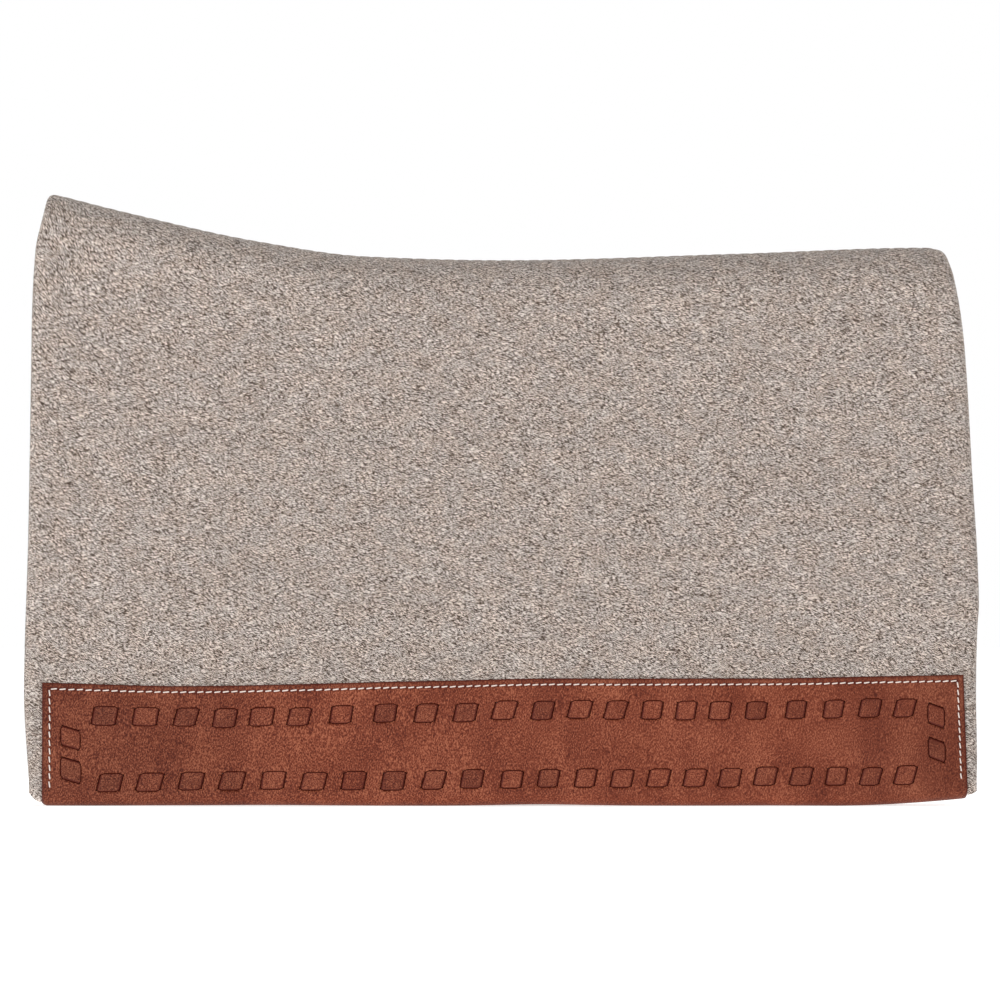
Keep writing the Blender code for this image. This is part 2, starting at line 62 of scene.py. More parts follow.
QUARTER = math.pi / 2 - LEAN  # turn from the crest to the foot of the arch

# Layers
GAP = 0.0003
COVER = 0.0030
CORE = 0.0150
LINING = 0.0034
LEATHER = 0.0024
CORE_TOP = COVER + GAP
CORE_BOTTOM = CORE_TOP + CORE
LINING_TOP = CORE_BOTTOM + GAP
LINING_BOTTOM = LINING_TOP + LINING
ROLL_BOTTOM = LINING_BOTTOM + GAP + COVER
ROLL_RADIUS = 0.009
ROLL_TURN_IN = 0.0105
CREST_LIP = 0.0003  # how far the cover's end is rounded off at the crest
COVER_TURN = 0.0080  # height of the cover's rounded hem
COVER_WIDTH = 0.8047  # mean distance between its front and rear edges

# Outline: height of the spine along x, and the x of both edges by height
SPINE_LINE = (
    (-0.3890, 0.5230), (-0.3200, 0.5055), (-0.2060, 0.4805), (-0.1150, 0.4680),
    (0.0000, 0.4648), (0.2030, 0.4704), (0.3600, 0.4755), (0.3850, 0.4715),
)
FRONT_EDGE = (
    (0.010, -0.4026), (0.080, -0.4069), (0.227, -0.4034), (0.376, -0.4012),
    (0.418, -0.4006), (0.4715, -0.3977), (0.4996, -0.3920), (0.514, -0.3886),
)
REAR_EDGE = (
    (0.010, 0.4048), (0.030, 0.4051), (0.085, 0.4044), (0.118, 0.4047),
    (0.146, 0.4056), (0.166, 0.4069), (0.198, 0.4061), (0.279, 0.4016),
    (0.394, 0.3948), (0.451, 0.3862), (0.474, 0.3770),
)
REAR_LIFT = 0.0075
REAR_LIFT_START = 0.280
REAR_LIFT_END = 0.405
HEM_WAVES = ((0.0011, 0.034, 0.045), (0.0006, -0.205, 0.05))  # height, place, reach
FRONT_CUT = (-0.3917, 0.0109, 0.0083)  # the cover's front bottom corner: start x, width, height
REAR_CUT = (0.4010, 0.60)
LEATHER_CUT = (-0.3882, 0.76)

# Wear leather
LEATHER_FRONT = -0.3913
LEATHER_REAR_TOP = 0.3936
LEATHER_REAR_BOTTOM = 0.3974
LEATHER_REAR_INSIDE = 0.3925
LEATHER_EDGE = (
    (-0.3913, 0.1051), (-0.2700, 0.1020), (-0.0690, 0.1060), (0.0500, 0.1083),
    (0.2030, 0.1083), (0.3220, 0.1103), (0.3974, 0.1117),
)
LEATHER_OUTSIDE = -GAP - LEATHER / 2  # depth of the middle of the outer and inner flaps
LEATHER_INSIDE = LINING_BOTTOM + GAP + LEATHER / 2
LEATHER_LENGTH = 0.785
HEM_TURN = 0.0085  # height of the hem's rounded turn

# Lacing
LACE_WIDTH = 0.0158
LACE_THICKNESS = 0.0014
LACE_SHOWN = (0.0193, 0.0158)  # length of a square at the front and at the rear
LACE_TUCK = 0.0060  # how far its ends run on under the leather, and their share of its width
LACE_TUCK_WIDTH = 0.9
LACE_SLANT = {"row": 0.22, "column": 0.36}
LACE_OVER = -0.00085  # depth of the lace's middle from the leather's middle, over and under it
LACE_UNDER = 0.0020
LACE_LIP = 0.00055  # radius of its edges
LACE_INSETS = (0.0013, 0.0030)  # places across its flat faces
LACE_RISE = (  # how it comes up: distance in from a square's end, share of the rise, share of the width
    (-0.0030, 0.00, 0.90), (-0.0012, 0.02, 0.86), (-0.0004, 0.25, 0.84),
    (0.0000, 0.60, 0.84), (0.0004, 0.88, 0.855), (0.0010, 0.975, 0.895),
    (0.0020, 1.00, 0.96), (0.0034, 1.02, 1.00), (0.0055, 1.04, 1.00),
)
ROW_SQUARES = 22
PITCH_TAPER = 0.085
UPPER_ROW_ENDS = (-0.3385, 0.3442)
UPPER_ROW_DROP = 0.0275
# A row's shift, and where its spacing strays: square, reach in squares, shift
UPPER_ROW_STRAYS = (0.0, ((5.0, 1.6, -0.0068), (16.4, 2.0, -0.0060), (10.3, 2.2, 0.0018)))
LOWER_ROW_ENDS = (-0.3315, 0.3466)
LOWER_ROW_HEIGHTS = (0.0195, 0.0250)
LOWER_ROW_STRAYS = (-0.0025, ((10.3, 5.5, 0.0050),))
FRONT_COLUMN = (-0.3665, (0.0300, 0.0575), 0.0172, (0.0168, 0.0165))  # x, heights, width, lengths
REAR_COLUMN = (0.3707, (0.0476, 0.0760), 0.0142, (0.0158, 0.0160))
DENT_DEPTH = 0.0017  # of the cover under a lace, its margin and slope, and how far it runs on
DENT_MARGIN = 0.0008
DENT_SLOPE = 0.0025
DENT_REACH = 0.018
POCKET_GAP = 0.00045  # clearance beside a lace in the groove that it has pressed
POCKET_TOP = -0.0030  # depths of the groove's ends from the leather's middle
POCKET_FLOOR = -0.00005
POCKET_TAPER = 0.0028  # length over which the groove narrows to its slit
SLIT_FLOOR = 0.0026
SLIT_WIDTHS = (0.84, 0.865)  # shares of the lace's width, outside and inside the slit
SLIT_OUT = 0.0009  # how far a slit reaches beyond and inside a square's end
SLIT_IN = 0.00045

# Sewing
SEAM_SIDE = ("thread", "bobbin")  # outside and inside
LEATHER_SEAM_INSET = 0.0052
LEATHER_SEAM_FRONT = LEATHER_FRONT + 0.0064
LEATHER_SEAM_BOTTOM = (0.0145, 0.0220)
LEATHER_STITCH_PITCH = (0.0074, 0.0067)  # at the front and at the rear
STITCH_PITCH = 0.007
STITCH_SHARE = 0.80  # length of a stitch as a share of its pitch
STITCH_LEAN = (0.00035, -0.00020)  # how far a stitch's ends lie off the seam, outside and inside
COLUMN_TILT = 0.0004
STITCH_SWAY = 0.00012
THREAD_RADIUS = 0.00056
EDGE_SEAM_INSET = 0.0083
SEAM_FURROW = 0.0009
EDGE_SEAM_ENDS = {"front": 0.0140, "rear": 0.1200}
EDGE_STITCH_PITCH = 0.0065
EDGE_THREAD_RADIUS = 0.00042
SPINE_THREAD_RADIUS = 0.00034
SPINE_SEAM_STEP = 0.012
SPINE_SEAM_REACH = 0.0040
SPINE_SEAM_END = 0.014

# Fineness of the meshes
CELL = 0.0044
SIDE_LENGTH = 0.49  # the length that the rows of cells are counted on
ROLL_STEPS = 6
STITCH_AROUND = 8
STITCH_RINGS = 9

SIDES = (("near", 1.0), ("off", -1.0))
DRAW = random.Random(20)


# ---- outline


def curve(points, keys):
    """Heights of a smooth curve through the points at keys; it ends in straight lines."""
    xs, ys = np.array(points).T
    steps = np.diff(ys) / np.diff(xs)
    product = steps[:-1] * steps[1:]
    total = np.where(product > 0.0, steps[:-1] + steps[1:], 1.0)
    middle = np.where(product > 0.0, 2.0 * product / total, 0.0)
    slopes = np.concatenate([steps[:1], middle, steps[-1:]])
    keys = np.asarray(keys, float)
    index = np.clip(np.searchsorted(xs, keys) - 1, 0, len(xs) - 2)
    span = xs[index + 1] - xs[index]
    t = np.clip((keys - xs[index]) / span, 0.0, 1.0)
    rise = ys[index] + (ys[index + 1] - ys[index]) * smooth(t)
    bend = slopes[index] * (t**3 - 2 * t**2 + t) + slopes[index + 1] * (t**3 - t**2)
    below = np.minimum(keys - xs[0], 0.0) * slopes[0]
    above = np.maximum(keys - xs[-1], 0.0) * slopes[-1]
    return rise + span * bend + below + above


def smooth(t):
    t = np.clip(t, 0.0, 1.0)
    return t * t * (3.0 - 2.0 * t)


def bump(distance, width):
    return np.exp(-((distance / width) ** 2))


def vectors(x, y, z):
    """An array of vectors from their three components."""
    return np.stack(np.broadcast_arrays(x, y, z), axis=-1)


def hem_height(x):
    share = np.clip((x - REAR_LIFT_START) / (REAR_LIFT_END - REAR_LIFT_START), 0.0, None)
    waves = sum(height * bump(x - at, reach) for height, at, reach in HEM_WAVES)
    return REAR_LIFT * share**2 + waves


def cover_bottom(x):
    """Height of the cover's lower end, with its two corners cut off."""
    front = (np.maximum(FRONT_CUT[0] - x, 0.0) / FRONT_CUT[1]) ** 2 * FRONT_CUT[2]
    rear = np.maximum(x - REAR_CUT[0], 0.0) * REAR_CUT[1]
    return hem_height(x) + LEATHER + GAP + front + rear


def leather_edge(x):
    return curve(LEATHER_EDGE, x)


def leg_length(z, n=0.0):
    """Distance down the side from the fold line to height z, at depth n."""
    return (HINGE_Z - z - n * SIN) / COS


def leg_height(down, n=0.0):
    return HINGE_Z - down * COS - n * SIN


def arch(x):
    """Radius, centre height, and the distances down of the arch's foot and of its crest."""
    radius = (APEX_Z - curve(SPINE_LINE, x)) / (1.0 / SIN - 1.0)
    centre = APEX_Z - radius / SIN
    foot = leg_length(centre + radius * SIN)
    return radius, centre, foot, foot - radius * QUARTER


# ---- places in the pad


def make_waves(seed, count, shortest, longest, size):
    """Sine waves that add up to a soft unevenness about as high as size."""
    draw = random.Random(seed)
    waves = []
    for _ in range(count):
        turns = 2.0 * math.pi / draw.uniform(shortest, longest)
        heading = draw.uniform(0.0, math.pi)
        phase = draw.uniform(0.0, 2.0 * math.pi)
        waves.append((size * 0.5, turns * math.cos(heading), turns * math.sin(heading), phase))
    return waves


PAD_WAVES = {1.0: make_waves(3, 7, 0.11, 0.34, 0.0007), -1.0: make_waves(8, 7, 0.11, 0.34, 0.0007)}
LEATHER_WAVES = {1.0: make_waves(5, 9, 0.035, 0.12, 0.0003), -1.0: make_waves(9, 9, 0.035, 0.12, 0.0003)}


def unevenness(waves, x, down):
    total = 0.0
    for height, along, across, phase in waves:
        total = total + height * np.sin(along * x + across * down + phase)
    return total


def place(x, down, n, side):
    """World places on one half of the pad, as an array whose last axis is x, y, z."""
    x, down, n = np.broadcast_arrays(np.asarray(x, float), down, n)
    radius, centre, foot, crest = arch(x)
    n = n - unevenness(PAD_WAVES[side], x, down) * smooth((down - crest) / 0.06)
    turn = QUARTER - (foot - down) / radius
    arch_y = np.minimum(-(radius - n) * np.sin(turn), -GAP / 2)
    arch_z = centre + (radius - n) * np.cos(turn)
    leg_y = HINGE_Y - down * SIN + n * COS
    on_arch = down < foot
    y = np.where(on_arch, arch_y, leg_y) * side
    return vectors(x, y, np.where(on_arch, arch_z, leg_height(down, n)))


# ---- meshes


def note_facts(mesh, facts):
    """facts maps an attribute's name to a vector per point."""
    for key, values in facts.items():
        attribute = mesh.attributes.new(key, "FLOAT_VECTOR", "POINT")
        attribute.data.foreach_set("vector", np.asarray(values, np.float32).ravel())


def add_mesh(name, points, faces, material, facts=None):
    mesh = bpy.data.meshes.new(name)
    mesh.from_pydata(points.reshape(-1, 3).tolist(), [], faces)
    note_facts(mesh, facts or {})
    mesh.materials.append(material)
    mesh.shade_smooth()
    mesh.set_sharp_from_angle(angle=math.radians(50))
    obj = bpy.data.objects.new(name, mesh)
    bpy.context.scene.collection.objects.link(obj)
    return obj


def face_outward(obj):
    """Turn a closed mesh's faces outwards."""
    build = bmesh.new()
    build.from_mesh(obj.data)
    bmesh.ops.recalc_face_normals(build, faces=build.faces)
    build.to_mesh(obj.data)
    build.free()


def grid_faces(rows, columns, first=0, flip=False):
    """Quads between neighbouring points of a grid."""
    faces = []
    for row in range(rows - 1):
        for column in range(columns - 1):
            a = first + row * columns + column
            quad = (a, a + 1, a + columns + 1, a + columns)
            faces.append(quad[::-1] if flip else quad)
    return faces


def tube_faces(first, rings, around):
    """Quads round a tube of rings of points, and a face across each end."""
    faces = []
    for ring in range(first, first + (rings - 1) * around, around):
        for corner in range(around):
            a, b = ring + corner, ring + (corner + 1) % around
            faces.append((a, b, b + around, a + around))
    last = first + (rings - 1) * around
    return faces + [tuple(range(first, first + around))[::-1], tuple(range(last, last + around))]


def closed_sheet(name, outer, inner, material, side, facts=None):
    """A closed sheet between two grids of the same shape, outer first."""
    rows, columns = outer.shape[:2]
    count = rows * columns
    faces = grid_faces(rows, columns) + grid_faces(rows, columns, count, flip=True)
    border = list(range(columns))
    border += [row * columns + columns - 1 for row in range(1, rows)]
    border += [(rows - 1) * columns + column for column in reversed(range(columns - 1))]
    border += [row * columns for row in reversed(range(1, rows - 1))]
    for a, b in zip(border, border[1:] + border[:1]):
        faces.append((b, a, count + a, count + b))
    if side > 0.0:
        faces = [tuple(reversed(face)) for face in faces]
    points = np.concatenate([outer.reshape(-1, 3), inner.reshape(-1, 3)])
    return add_mesh(name, points, faces, material, facts)


def plate(name, middle, half, lips, material, side):
    """A closed sheet about a grid of middle places, half as thick as half to each side.
    lips holds each point's distance from the sheet's border, where its edge is rounded."""
    normal = np.cross(*np.gradient(middle, axis=(0, 1)))
    normal /= np.linalg.norm(normal, axis=-1, keepdims=True)
    share = np.clip(lips / (half * 1.2), 0.0, 1.0)
    reach = half * np.sqrt(np.clip(1.0 - (1.0 - share) ** 2, 0.04, 1.0))
    offset = normal * reach[..., None] * side
    return closed_sheet(name, middle - offset, middle + offset, material, side)


# ---- node trees


class Value:
    """A number, a vector or a colour in a material's node tree, with plain arithmetic."""

    def __init__(self, nodes, socket):
        self.nodes = nodes
        self.socket = socket

    def __add__(self, other):
        return self.nodes.math("ADD", self, other)

    def __sub__(self, other):
        return self.nodes.math("SUBTRACT", self, other)

    def __mul__(self, other):
        return self.nodes.math("MULTIPLY", self, other)

    def __truediv__(self, other):
        return self.nodes.math("DIVIDE", self, other)

    def __abs__(self):
        return self.nodes.math("ABSOLUTE", self)


def is_number(value):
    return isinstance(value, float) or isinstance(value, Value) and value.socket.type == "VALUE"


class Nodes:
    """Short calls that build one material's nodes."""

    def __init__(self, name, roughness, sheen=0.0, specular=0.5):
        self.material = bpy.data.materials.new(name)
        self.material.use_nodes = True
        self.tree = self.material.node_tree
        self.shader = self.tree.nodes["Principled BSDF"].inputs
        self.shader["Roughness"].default_value = roughness
        self.shader["Specular IOR Level"].default_value = specular
        self.shader["Sheen Weight"].default_value = sheen
        self.shader["Sheen Roughness"].default_value = 0.5

    def feed(self, socket, value):
        if isinstance(value, Value):
            self.tree.links.new(value.socket, socket)
        else:
            socket.default_value = value

    def node(self, kind, inputs, output=0, **settings):
        """Add a node, feed its inputs in order or by their keys, and return one output."""
        node = self.tree.nodes.new(kind)
        for key, setting in settings.items():
            setattr(node, key, setting)
        for key, value in inputs.items() if isinstance(inputs, dict) else enumerate(inputs):
            self.feed(node.inputs[key], value)
        return Value(self, node.outputs[output])

    def math(self, operation, *values):
        """A function of numbers, or of vectors and colours where there is one among them."""
        kind = "ShaderNodeMath" if all(map(is_number, values)) else "ShaderNodeVectorMath"
        return self.node(kind, values, operation=operation)

    def attribute(self, name):
        return self.node("ShaderNodeAttribute", (), "Vector", attribute_name=name)

    def split(self, vector):
        x = self.node("ShaderNodeSeparateXYZ", (vector,))
        return [Value(self, socket) for socket in x.socket.node.outputs]

    def join(self, x, y, z):
        return self.node("ShaderNodeCombineXYZ", (x, y, z))

    def noise(self, vector, scale, detail=2.0, output="Fac"):
        return self.node("ShaderNodeTexNoise", {"Vector": vector, "Scale": scale, "Detail": detail}, output)

    def white(self, x, y, z):
        """A random number for each place, the same wherever x, y and z are the same."""
        return self.node("ShaderNodeTexWhiteNoise", {"Vector": self.join(x, y, z)}, "Value")

    def span(self, value, low, high, to_low=0.0, to_high=1.0):
        """A value's stretch from low to high, mapped smoothly and clamped."""
        values = (value, low, high, to_low, to_high)
        return self.node("ShaderNodeMapRange", values, interpolation_type="SMOOTHSTEP")

    def ramp(self, value, stops):
        ramp = self.node("ShaderNodeValToRGB", (value,))
        elements = ramp.socket.node.color_ramp.elements
        while len(elements) < len(stops):
            elements.new(0.5)
        for element, (position, colour) in zip(elements, stops):
            element.position = position
            element.color = (*colour, 1.0)
        return ramp

    def mix(self, factor, a, b):
        return self.node("ShaderNodeMix", {0: factor, 6: a, 7: b}, 2, data_type="RGBA")

    def relief(self, height, distance):
        bump = self.node("ShaderNodeBump", {"Height": height, "Distance": distance})
        self.feed(self.shader["Normal"], bump)

    def colour(self, value):
        self.feed(self.shader["Base Color"], value)
        return self.material


# ---- materials

# Woven wool: a lattice of flat diamonds of yarn, the floats
WEAVE_FLOAT = 0.0104  # length and height of one float
WEAVE_RISE = 0.0046
DRIFT = (34.0, (0.005, 0.005, 0.0))  # how often and how far the lattice wanders, over a hand's width
WOBBLE = (260.0, (0.0016, 0.0011, 0.0))  # and from one float to the next
STREAK_LONG = 450.0  # streaks of fibre to the metre, along and across the yarn
STREAK_WIDE = 2200.0
STREAK_FALL = 0.35  # how steeply they fall towards the rear
STREAK_APART = 40.0  # how far two floats' streaks lie apart in the noise
STREAK_RELIEF = 1.6
WEAVE_RELIEF = 0.0005
SPECK_SCALE = 1900.0
CREASE_SHADE_REACH = 0.40  # share of a float's crown below which the painted shade of a crease begins
CREASE_SHADE_LEAST = 0.15  # strength of the painted shade in the shallowest crease, and how much stronger it is in others
CREASE_SHADE_RANGE = 1.7
SHADE_MIDDLE = 0.615  # the wool's middle shade, and how much each cause changes it
STREAK_SHARE = 5.9
SPECK_SHARE = 2.4
# painted light: each float lighter towards its top and darker towards its bottom
FLOAT_TOP_LIGHT_SHARE = 0.10
CREASE_SHADE_SHARE = 0.42
OWN_SHARE = 0.06
WOOL = (
    (0.00, (0.070, 0.048, 0.036)),
    (0.25, (0.226, 0.160, 0.126)),
    (0.50, (0.410, 0.319, 0.264)),
    (0.75, (0.592, 0.494, 0.436)),
    (1.00, (0.856, 0.764, 0.702)),
)
PATCH_SCALE = 60.0
PATCH_REACH = (0.35, 0.65)
PATCH_TINTS = ((1.02, 0.995, 0.97), (0.985, 1.0, 1.01))
FURROW_REACH = (0.0008, 0.0022)  # painted shade: the dark, ragged line along the furrow that a seam beside an edge pulls into the cloth
FURROW_WANDER = 230.0
FURROW_RAGGED = 0.0013
FURROW_SHADES = (0.40, 0.80)  # the painted shade at its darkest, at the front and at the rear
PULL_FRONT = -0.41  # the floats slope down to the rear where the cloth climbs to the front of the spine
PULL_TOP = -0.11
PULL_REACH = 0.12
PULL_DEPTH = 0.20
PULL_SLOPE = 0.75


def make_weave():
    """Heathered wool: a diamond lattice of short floats, each streaked by its own fibres, with painted light
    on each float's top, painted shade at its bottom and in the creases round it, and painted shade along the
    seams' furrows.
    """
    n = Nodes("woven_wool", roughness=0.95, sheen=0.1, specular=0.12)
    cloth = n.attribute("cloth")
    moved = cloth
    for scale, reach in (DRIFT, WOBBLE):
        moved = moved + (n.noise(cloth, scale, 0.0, "Color") - (0.5, 0.5, 0.5)) * reach
    u, v, half = n.split(moved)
    pull = n.math("EXPONENT", (u - PULL_FRONT) / -PULL_REACH + (v - PULL_TOP) / -PULL_DEPTH)
    v = v + pull * (PULL_SLOPE * PULL_REACH)
    falling = u / WEAVE_FLOAT + v / WEAVE_RISE
    rising = u / WEAVE_FLOAT - v / WEAVE_RISE
    own = n.white(n.math("FLOOR", falling), n.math("FLOOR", rising), half)
    fall = n.math("FRACT", falling)
    rise = n.math("FRACT", rising)
    crown = n.math("SINE", fall * math.pi) * n.math("SINE", rise * math.pi)
    # painted shade in the creases round each float, of a random strength per float
    depth = n.white(own, 1.0, 0.0) * CREASE_SHADE_RANGE + CREASE_SHADE_LEAST
    crease_shade = n.span(crown, 0.0, CREASE_SHADE_REACH, -1.0, 0.0) * depth
    yarn = n.join(u * STREAK_LONG, (v - u * STREAK_FALL) * STREAK_WIDE, own * STREAK_APART)
    streaks = n.noise(yarn, 1.0, 0.0) - 0.5
    specks = n.noise(cloth, SPECK_SCALE, 0.0) - 0.5
    # painted light and shade: each float lighter at its top and darker at its bottom, as if lit from above
    shade = streaks * STREAK_SHARE + specks * SPECK_SHARE + (rise - fall) * FLOAT_TOP_LIGHT_SHARE
    shade = shade + crease_shade * CREASE_SHADE_SHARE + (own - 0.5) * OWN_SHARE + SHADE_MIDDLE
    wool = n.ramp(shade, WOOL)
    patch = n.span(n.noise(cloth, PATCH_SCALE, 1.0), *PATCH_REACH)
    wool = n.mix(patch, wool * PATCH_TINTS[0], wool * PATCH_TINTS[1])
    # painted shade along the furrow of each edge seam
    ragged = n.noise(cloth, FURROW_WANDER, 0.0) * FURROW_RAGGED
    for from_seam, darkest in zip(n.split(n.attribute("furrow")), FURROW_SHADES):
        wool = wool * n.span(abs(from_seam) + ragged, *FURROW_REACH, darkest, 1.0)
    n.relief(crown + streaks * STREAK_RELIEF, WEAVE_RELIEF)
    return n.colour(wool)


# Leather
HIDE = (
    (0.00, (0.088, 0.011, 0.0035)),
    (0.30, (0.155, 0.028, 0.010)),
    (0.55, (0.214, 0.046, 0.020)),
    (1.00, (0.400, 0.124, 0.062)),
)
EDGE_STAIN_AND_SHADE = (0.072, 0.0045, 0.0006, 1.0)  # the hide's stained cut edges; also painted shade where it is pressed or pierced: in the needle holes and beside and at the ends of the laces
CUT_HIDE = ((0.2, (0.050, 0.003, 0.0004)), (0.8, (0.100, 0.007, 0.001)))
HIDE_STRETCH = (1.0, 0.6, 1.0)
RIPPLE_TURNS = 2500.0  # fine creases: radians to the metre, and how often the hide's noise bends them
RIPPLE_BEND = 12.0
RIPPLE_LEAN = -0.35
RIPPLE_SHARE = (0.04, 0.15)
GRAIN_SCALE = 1000.0
GRAIN_SHARE = (2.70, 1.75)  # at the front and at the rear
GRAIN_ENDS = (-0.30, 0.35)
CLOUD_SCALE = 24.0
CLOUD_SHARE = 0.9
DARKENING_MIDDLE = 0.05  # the hide darkens away from this place, most at the front
DARKENING_REACH = (0.18, 0.36)
DARKENING_DEPTH = 0.80
# Darker bands: the distances between which they fade, their tone and the hide's own. The hole, seam and lace
# end bands are painted shade; the lace edge band is the cut edge's stain with painted shade of the gap beside
# it; the burnished band is the cut edge's own stain.
HOLE_BAND = (0.0007, 0.0018)
HOLE_SHADE_TONES = (0.0, 1.0, 0.25, 1.0)
SEAM_SHADE_BAND = (0.0003, 0.0018, 0.74, 1.0)
BURNISHED_BAND = (0.0001, 0.0022, 0.20, 1.0)
RIM_BAND = (0.002, 0.006, 0.84, 1.0)
LACE_EDGE_STAIN_AND_SHADE_BAND = (0.0002, 0.0012, 0.10, 1.0)
LACE_END_SHADE_BAND = (0.0006, 0.0018, 0.08, 1.0)
LACE_TONES = (0.0, 1.0, 0.84, 1.06)  # of one square and another


def leather_nodes(name, roughness):
    """Fine-grained oiled leather. Returns the nodes, its colour and its relief's height."""
    n = Nodes(name, roughness=roughness, specular=0.22)
    at = n.attribute("place")
    x, z, _ = n.split(at)
    clouds = n.noise(at * HIDE_STRETCH, CLOUD_SCALE) - 0.5
    bend = n.noise(at, 46.0) * (2.0 * math.pi * RIPPLE_BEND)
    ripple = n.math("SINE", (x + z * RIPPLE_LEAN) * RIPPLE_TURNS + bend)
    ripple = ripple * n.span(n.noise(at, 90.0, 0.0), 0.35, 0.7, *RIPPLE_SHARE)
    grain = n.noise(at * HIDE_STRETCH, GRAIN_SCALE, 1.0) - 0.5
    fine = ripple + grain * n.span(x, *GRAIN_ENDS, *GRAIN_SHARE)
    # the hide darker towards both ends, most at the front
    end_darkening = n.span(abs(x - DARKENING_MIDDLE), *DARKENING_REACH, 1.0, DARKENING_DEPTH)
    return n, n.ramp(clouds * CLOUD_SHARE + fine + 0.5, HIDE) * end_darkening, fine


def make_wear_leather():
    """The wrap: darker along its stained cut edges, with painted shade in the needle holes and along the seam
    that the stitches pull down.
    """
    n, tone, height = leather_nodes("oiled_leather", 0.58)
    across, phase, edge = n.split(n.attribute("seam"))
    along = abs(n.math("FRACT", phase + 0.5) - 0.5) * STITCH_PITCH
    hole = n.span(n.math("SQRT", across * across + along * along), *HOLE_BAND)
    # painted shade along the seam, where the stitches pull the hide down; the hide is also a little darker a
    # short way in from its rim
    tone = tone * (n.span(abs(across), *SEAM_SHADE_BAND) * n.span(edge, *RIM_BAND))
    # the cut edges' own stain, and painted shade in the needle holes
    free_of_stain_and_shade = n.span(edge, *BURNISHED_BAND) * n.span(hole, *HOLE_SHADE_TONES)
    n.relief(height + hole * 1.5, 0.00030)
    return n.colour(n.mix(free_of_stain_and_shade, EDGE_STAIN_AND_SHADE, tone))


def make_lace_leather():
    """The strips: each square of its own tone, its cut edges stained and darkened with painted shade of the
    gap beside them, and painted shade at its ends where it dives into its slits.
    """
    n, tone, height = leather_nodes("lace_leather", 0.52)
    edge, square, end = n.split(n.attribute("strip"))
    own = n.white(n.math("FLOOR", square), 4.0, 1.0)
    # the cut edges' stain with painted shade beside them, and painted shade where each square dives into its
    # slits
    free_of_stain_and_shade = n.math("MINIMUM", n.span(edge, *LACE_EDGE_STAIN_AND_SHADE_BAND), n.span(end, *LACE_END_SHADE_BAND))
    n.relief(height, 0.00025)
    return n.colour(n.mix(free_of_stain_and_shade, EDGE_STAIN_AND_SHADE, tone * n.span(own, *LACE_TONES)))


def make_cut_leather():
    """The raw walls of slits and pressed grooves."""
    n = Nodes("cut_leather", roughness=0.9, specular=0.05)
    fibres = n.noise(n.attribute("place"), 1400.0)
    n.relief(fibres, 0.0002)
    return n.colour(n.ramp(fibres, CUT_HIDE))


PLY_TURNS = 5200.0  # a thread's twist, in radians to the metre


def make_thread(name, light, dark, roughness, sheen):
    """A plied thread: slanting ridges round it, with a little fluff."""
    n = Nodes(name, roughness=roughness, sheen=sheen, specular=0.3)
    along, turn, _ = n.split(n.attribute("thread"))
    ply = n.math("SINE", along * PLY_TURNS + turn * 2.0) * 0.5 + 0.5
    fluff = n.noise(n.join(along, turn, 0.0), 900.0)
    n.relief(ply + fluff, 0.00012)
    return n.colour(n.ramp(ply * 0.6 + fluff * 0.4, ((0.15, dark), (0.75, light))))


def make_felt(name, dark, light, coarse):
    """Needled wool without a weave: clumps, pits and loose fibres."""
    n = Nodes(name, roughness=0.97, sheen=0.2, specular=0.1)
    cloth = n.attribute("cloth")
    bent = cloth + n.noise(cloth, coarse, output="Color") * (0.006, 0.006, 0.0)
    strands = n.noise(bent, coarse * 6.0, 4.0)
    clumps = n.noise(cloth, coarse, 3.0)
    cells = {"Vector": cloth, "Scale": coarse * 2.2}
    pits = n.span(n.node("ShaderNodeTexVoronoi", cells, "Distance"), 0.0, 0.35)
    height = strands * 0.7 + clumps * 0.6 + pits * 0.25
    n.relief(height, 0.0011)
    return n.colour(n.ramp(height * 0.8, ((0.30, dark), (0.85, light))))


def make_materials():
    return {
        "cover": make_weave(),
        "felt": make_felt("pressed_felt", (0.40, 0.36, 0.30), (0.66, 0.61, 0.53), 150.0),
        "lining": make_felt("needled_lining", (0.46, 0.395, 0.315), (0.86, 0.78, 0.68), 110.0),
        "leather": make_wear_leather(),
        "lace": make_lace_leather(),
        "cut": make_cut_leather(),
        "thread": make_thread("waxed_thread", (1.0, 0.90, 0.83), (0.84, 0.68, 0.61), 0.55, 0.0),
        "wool_thread": make_thread("matt_thread", (0.33, 0.27, 0.23), (0.16, 0.12, 0.10), 0.9, 0.2),
        "spine_thread": make_thread("beige_thread", (0.45, 0.38, 0.33), (0.22, 0.18, 0.15), 0.9, 0.2),
    }


# ---- baking pieces in place, and hiding the frame's parts they stand for


def bend_with(obj):
    """Bake the piece's place into its mesh."""
    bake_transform(obj)


def stand_for(obj, slot, *nodes):
    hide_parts(*nodes)


# ---- soft layers


def roll_profile(offset):
    """(inset, depth) along one rolled edge from its tip outwards, offset into the cloth."""
    radius = ROLL_RADIUS - offset
    lip = COVER * 0.32 if offset == 0.0 else -COVER * 0.32
    profile = [(ROLL_TURN_IN, ROLL_BOTTOM - offset - lip)]
    profile.append((ROLL_TURN_IN - 0.0008, ROLL_BOTTOM - offset))
    for centre, phase in ((ROLL_BOTTOM - ROLL_RADIUS, 0.0), (ROLL_RADIUS, math.pi / 2)):
        for step in range(ROLL_STEPS + 1):
            angle = phase + math.pi / 2 * step / ROLL_STEPS
            profile.append((ROLL_RADIUS - radius * math.sin(angle), centre + radius * math.cos(angle)))
    for inset in (0.0102, 0.0115, 0.0130, 0.0150, 0.0180):
        profile.append((inset, offset))
    return profile


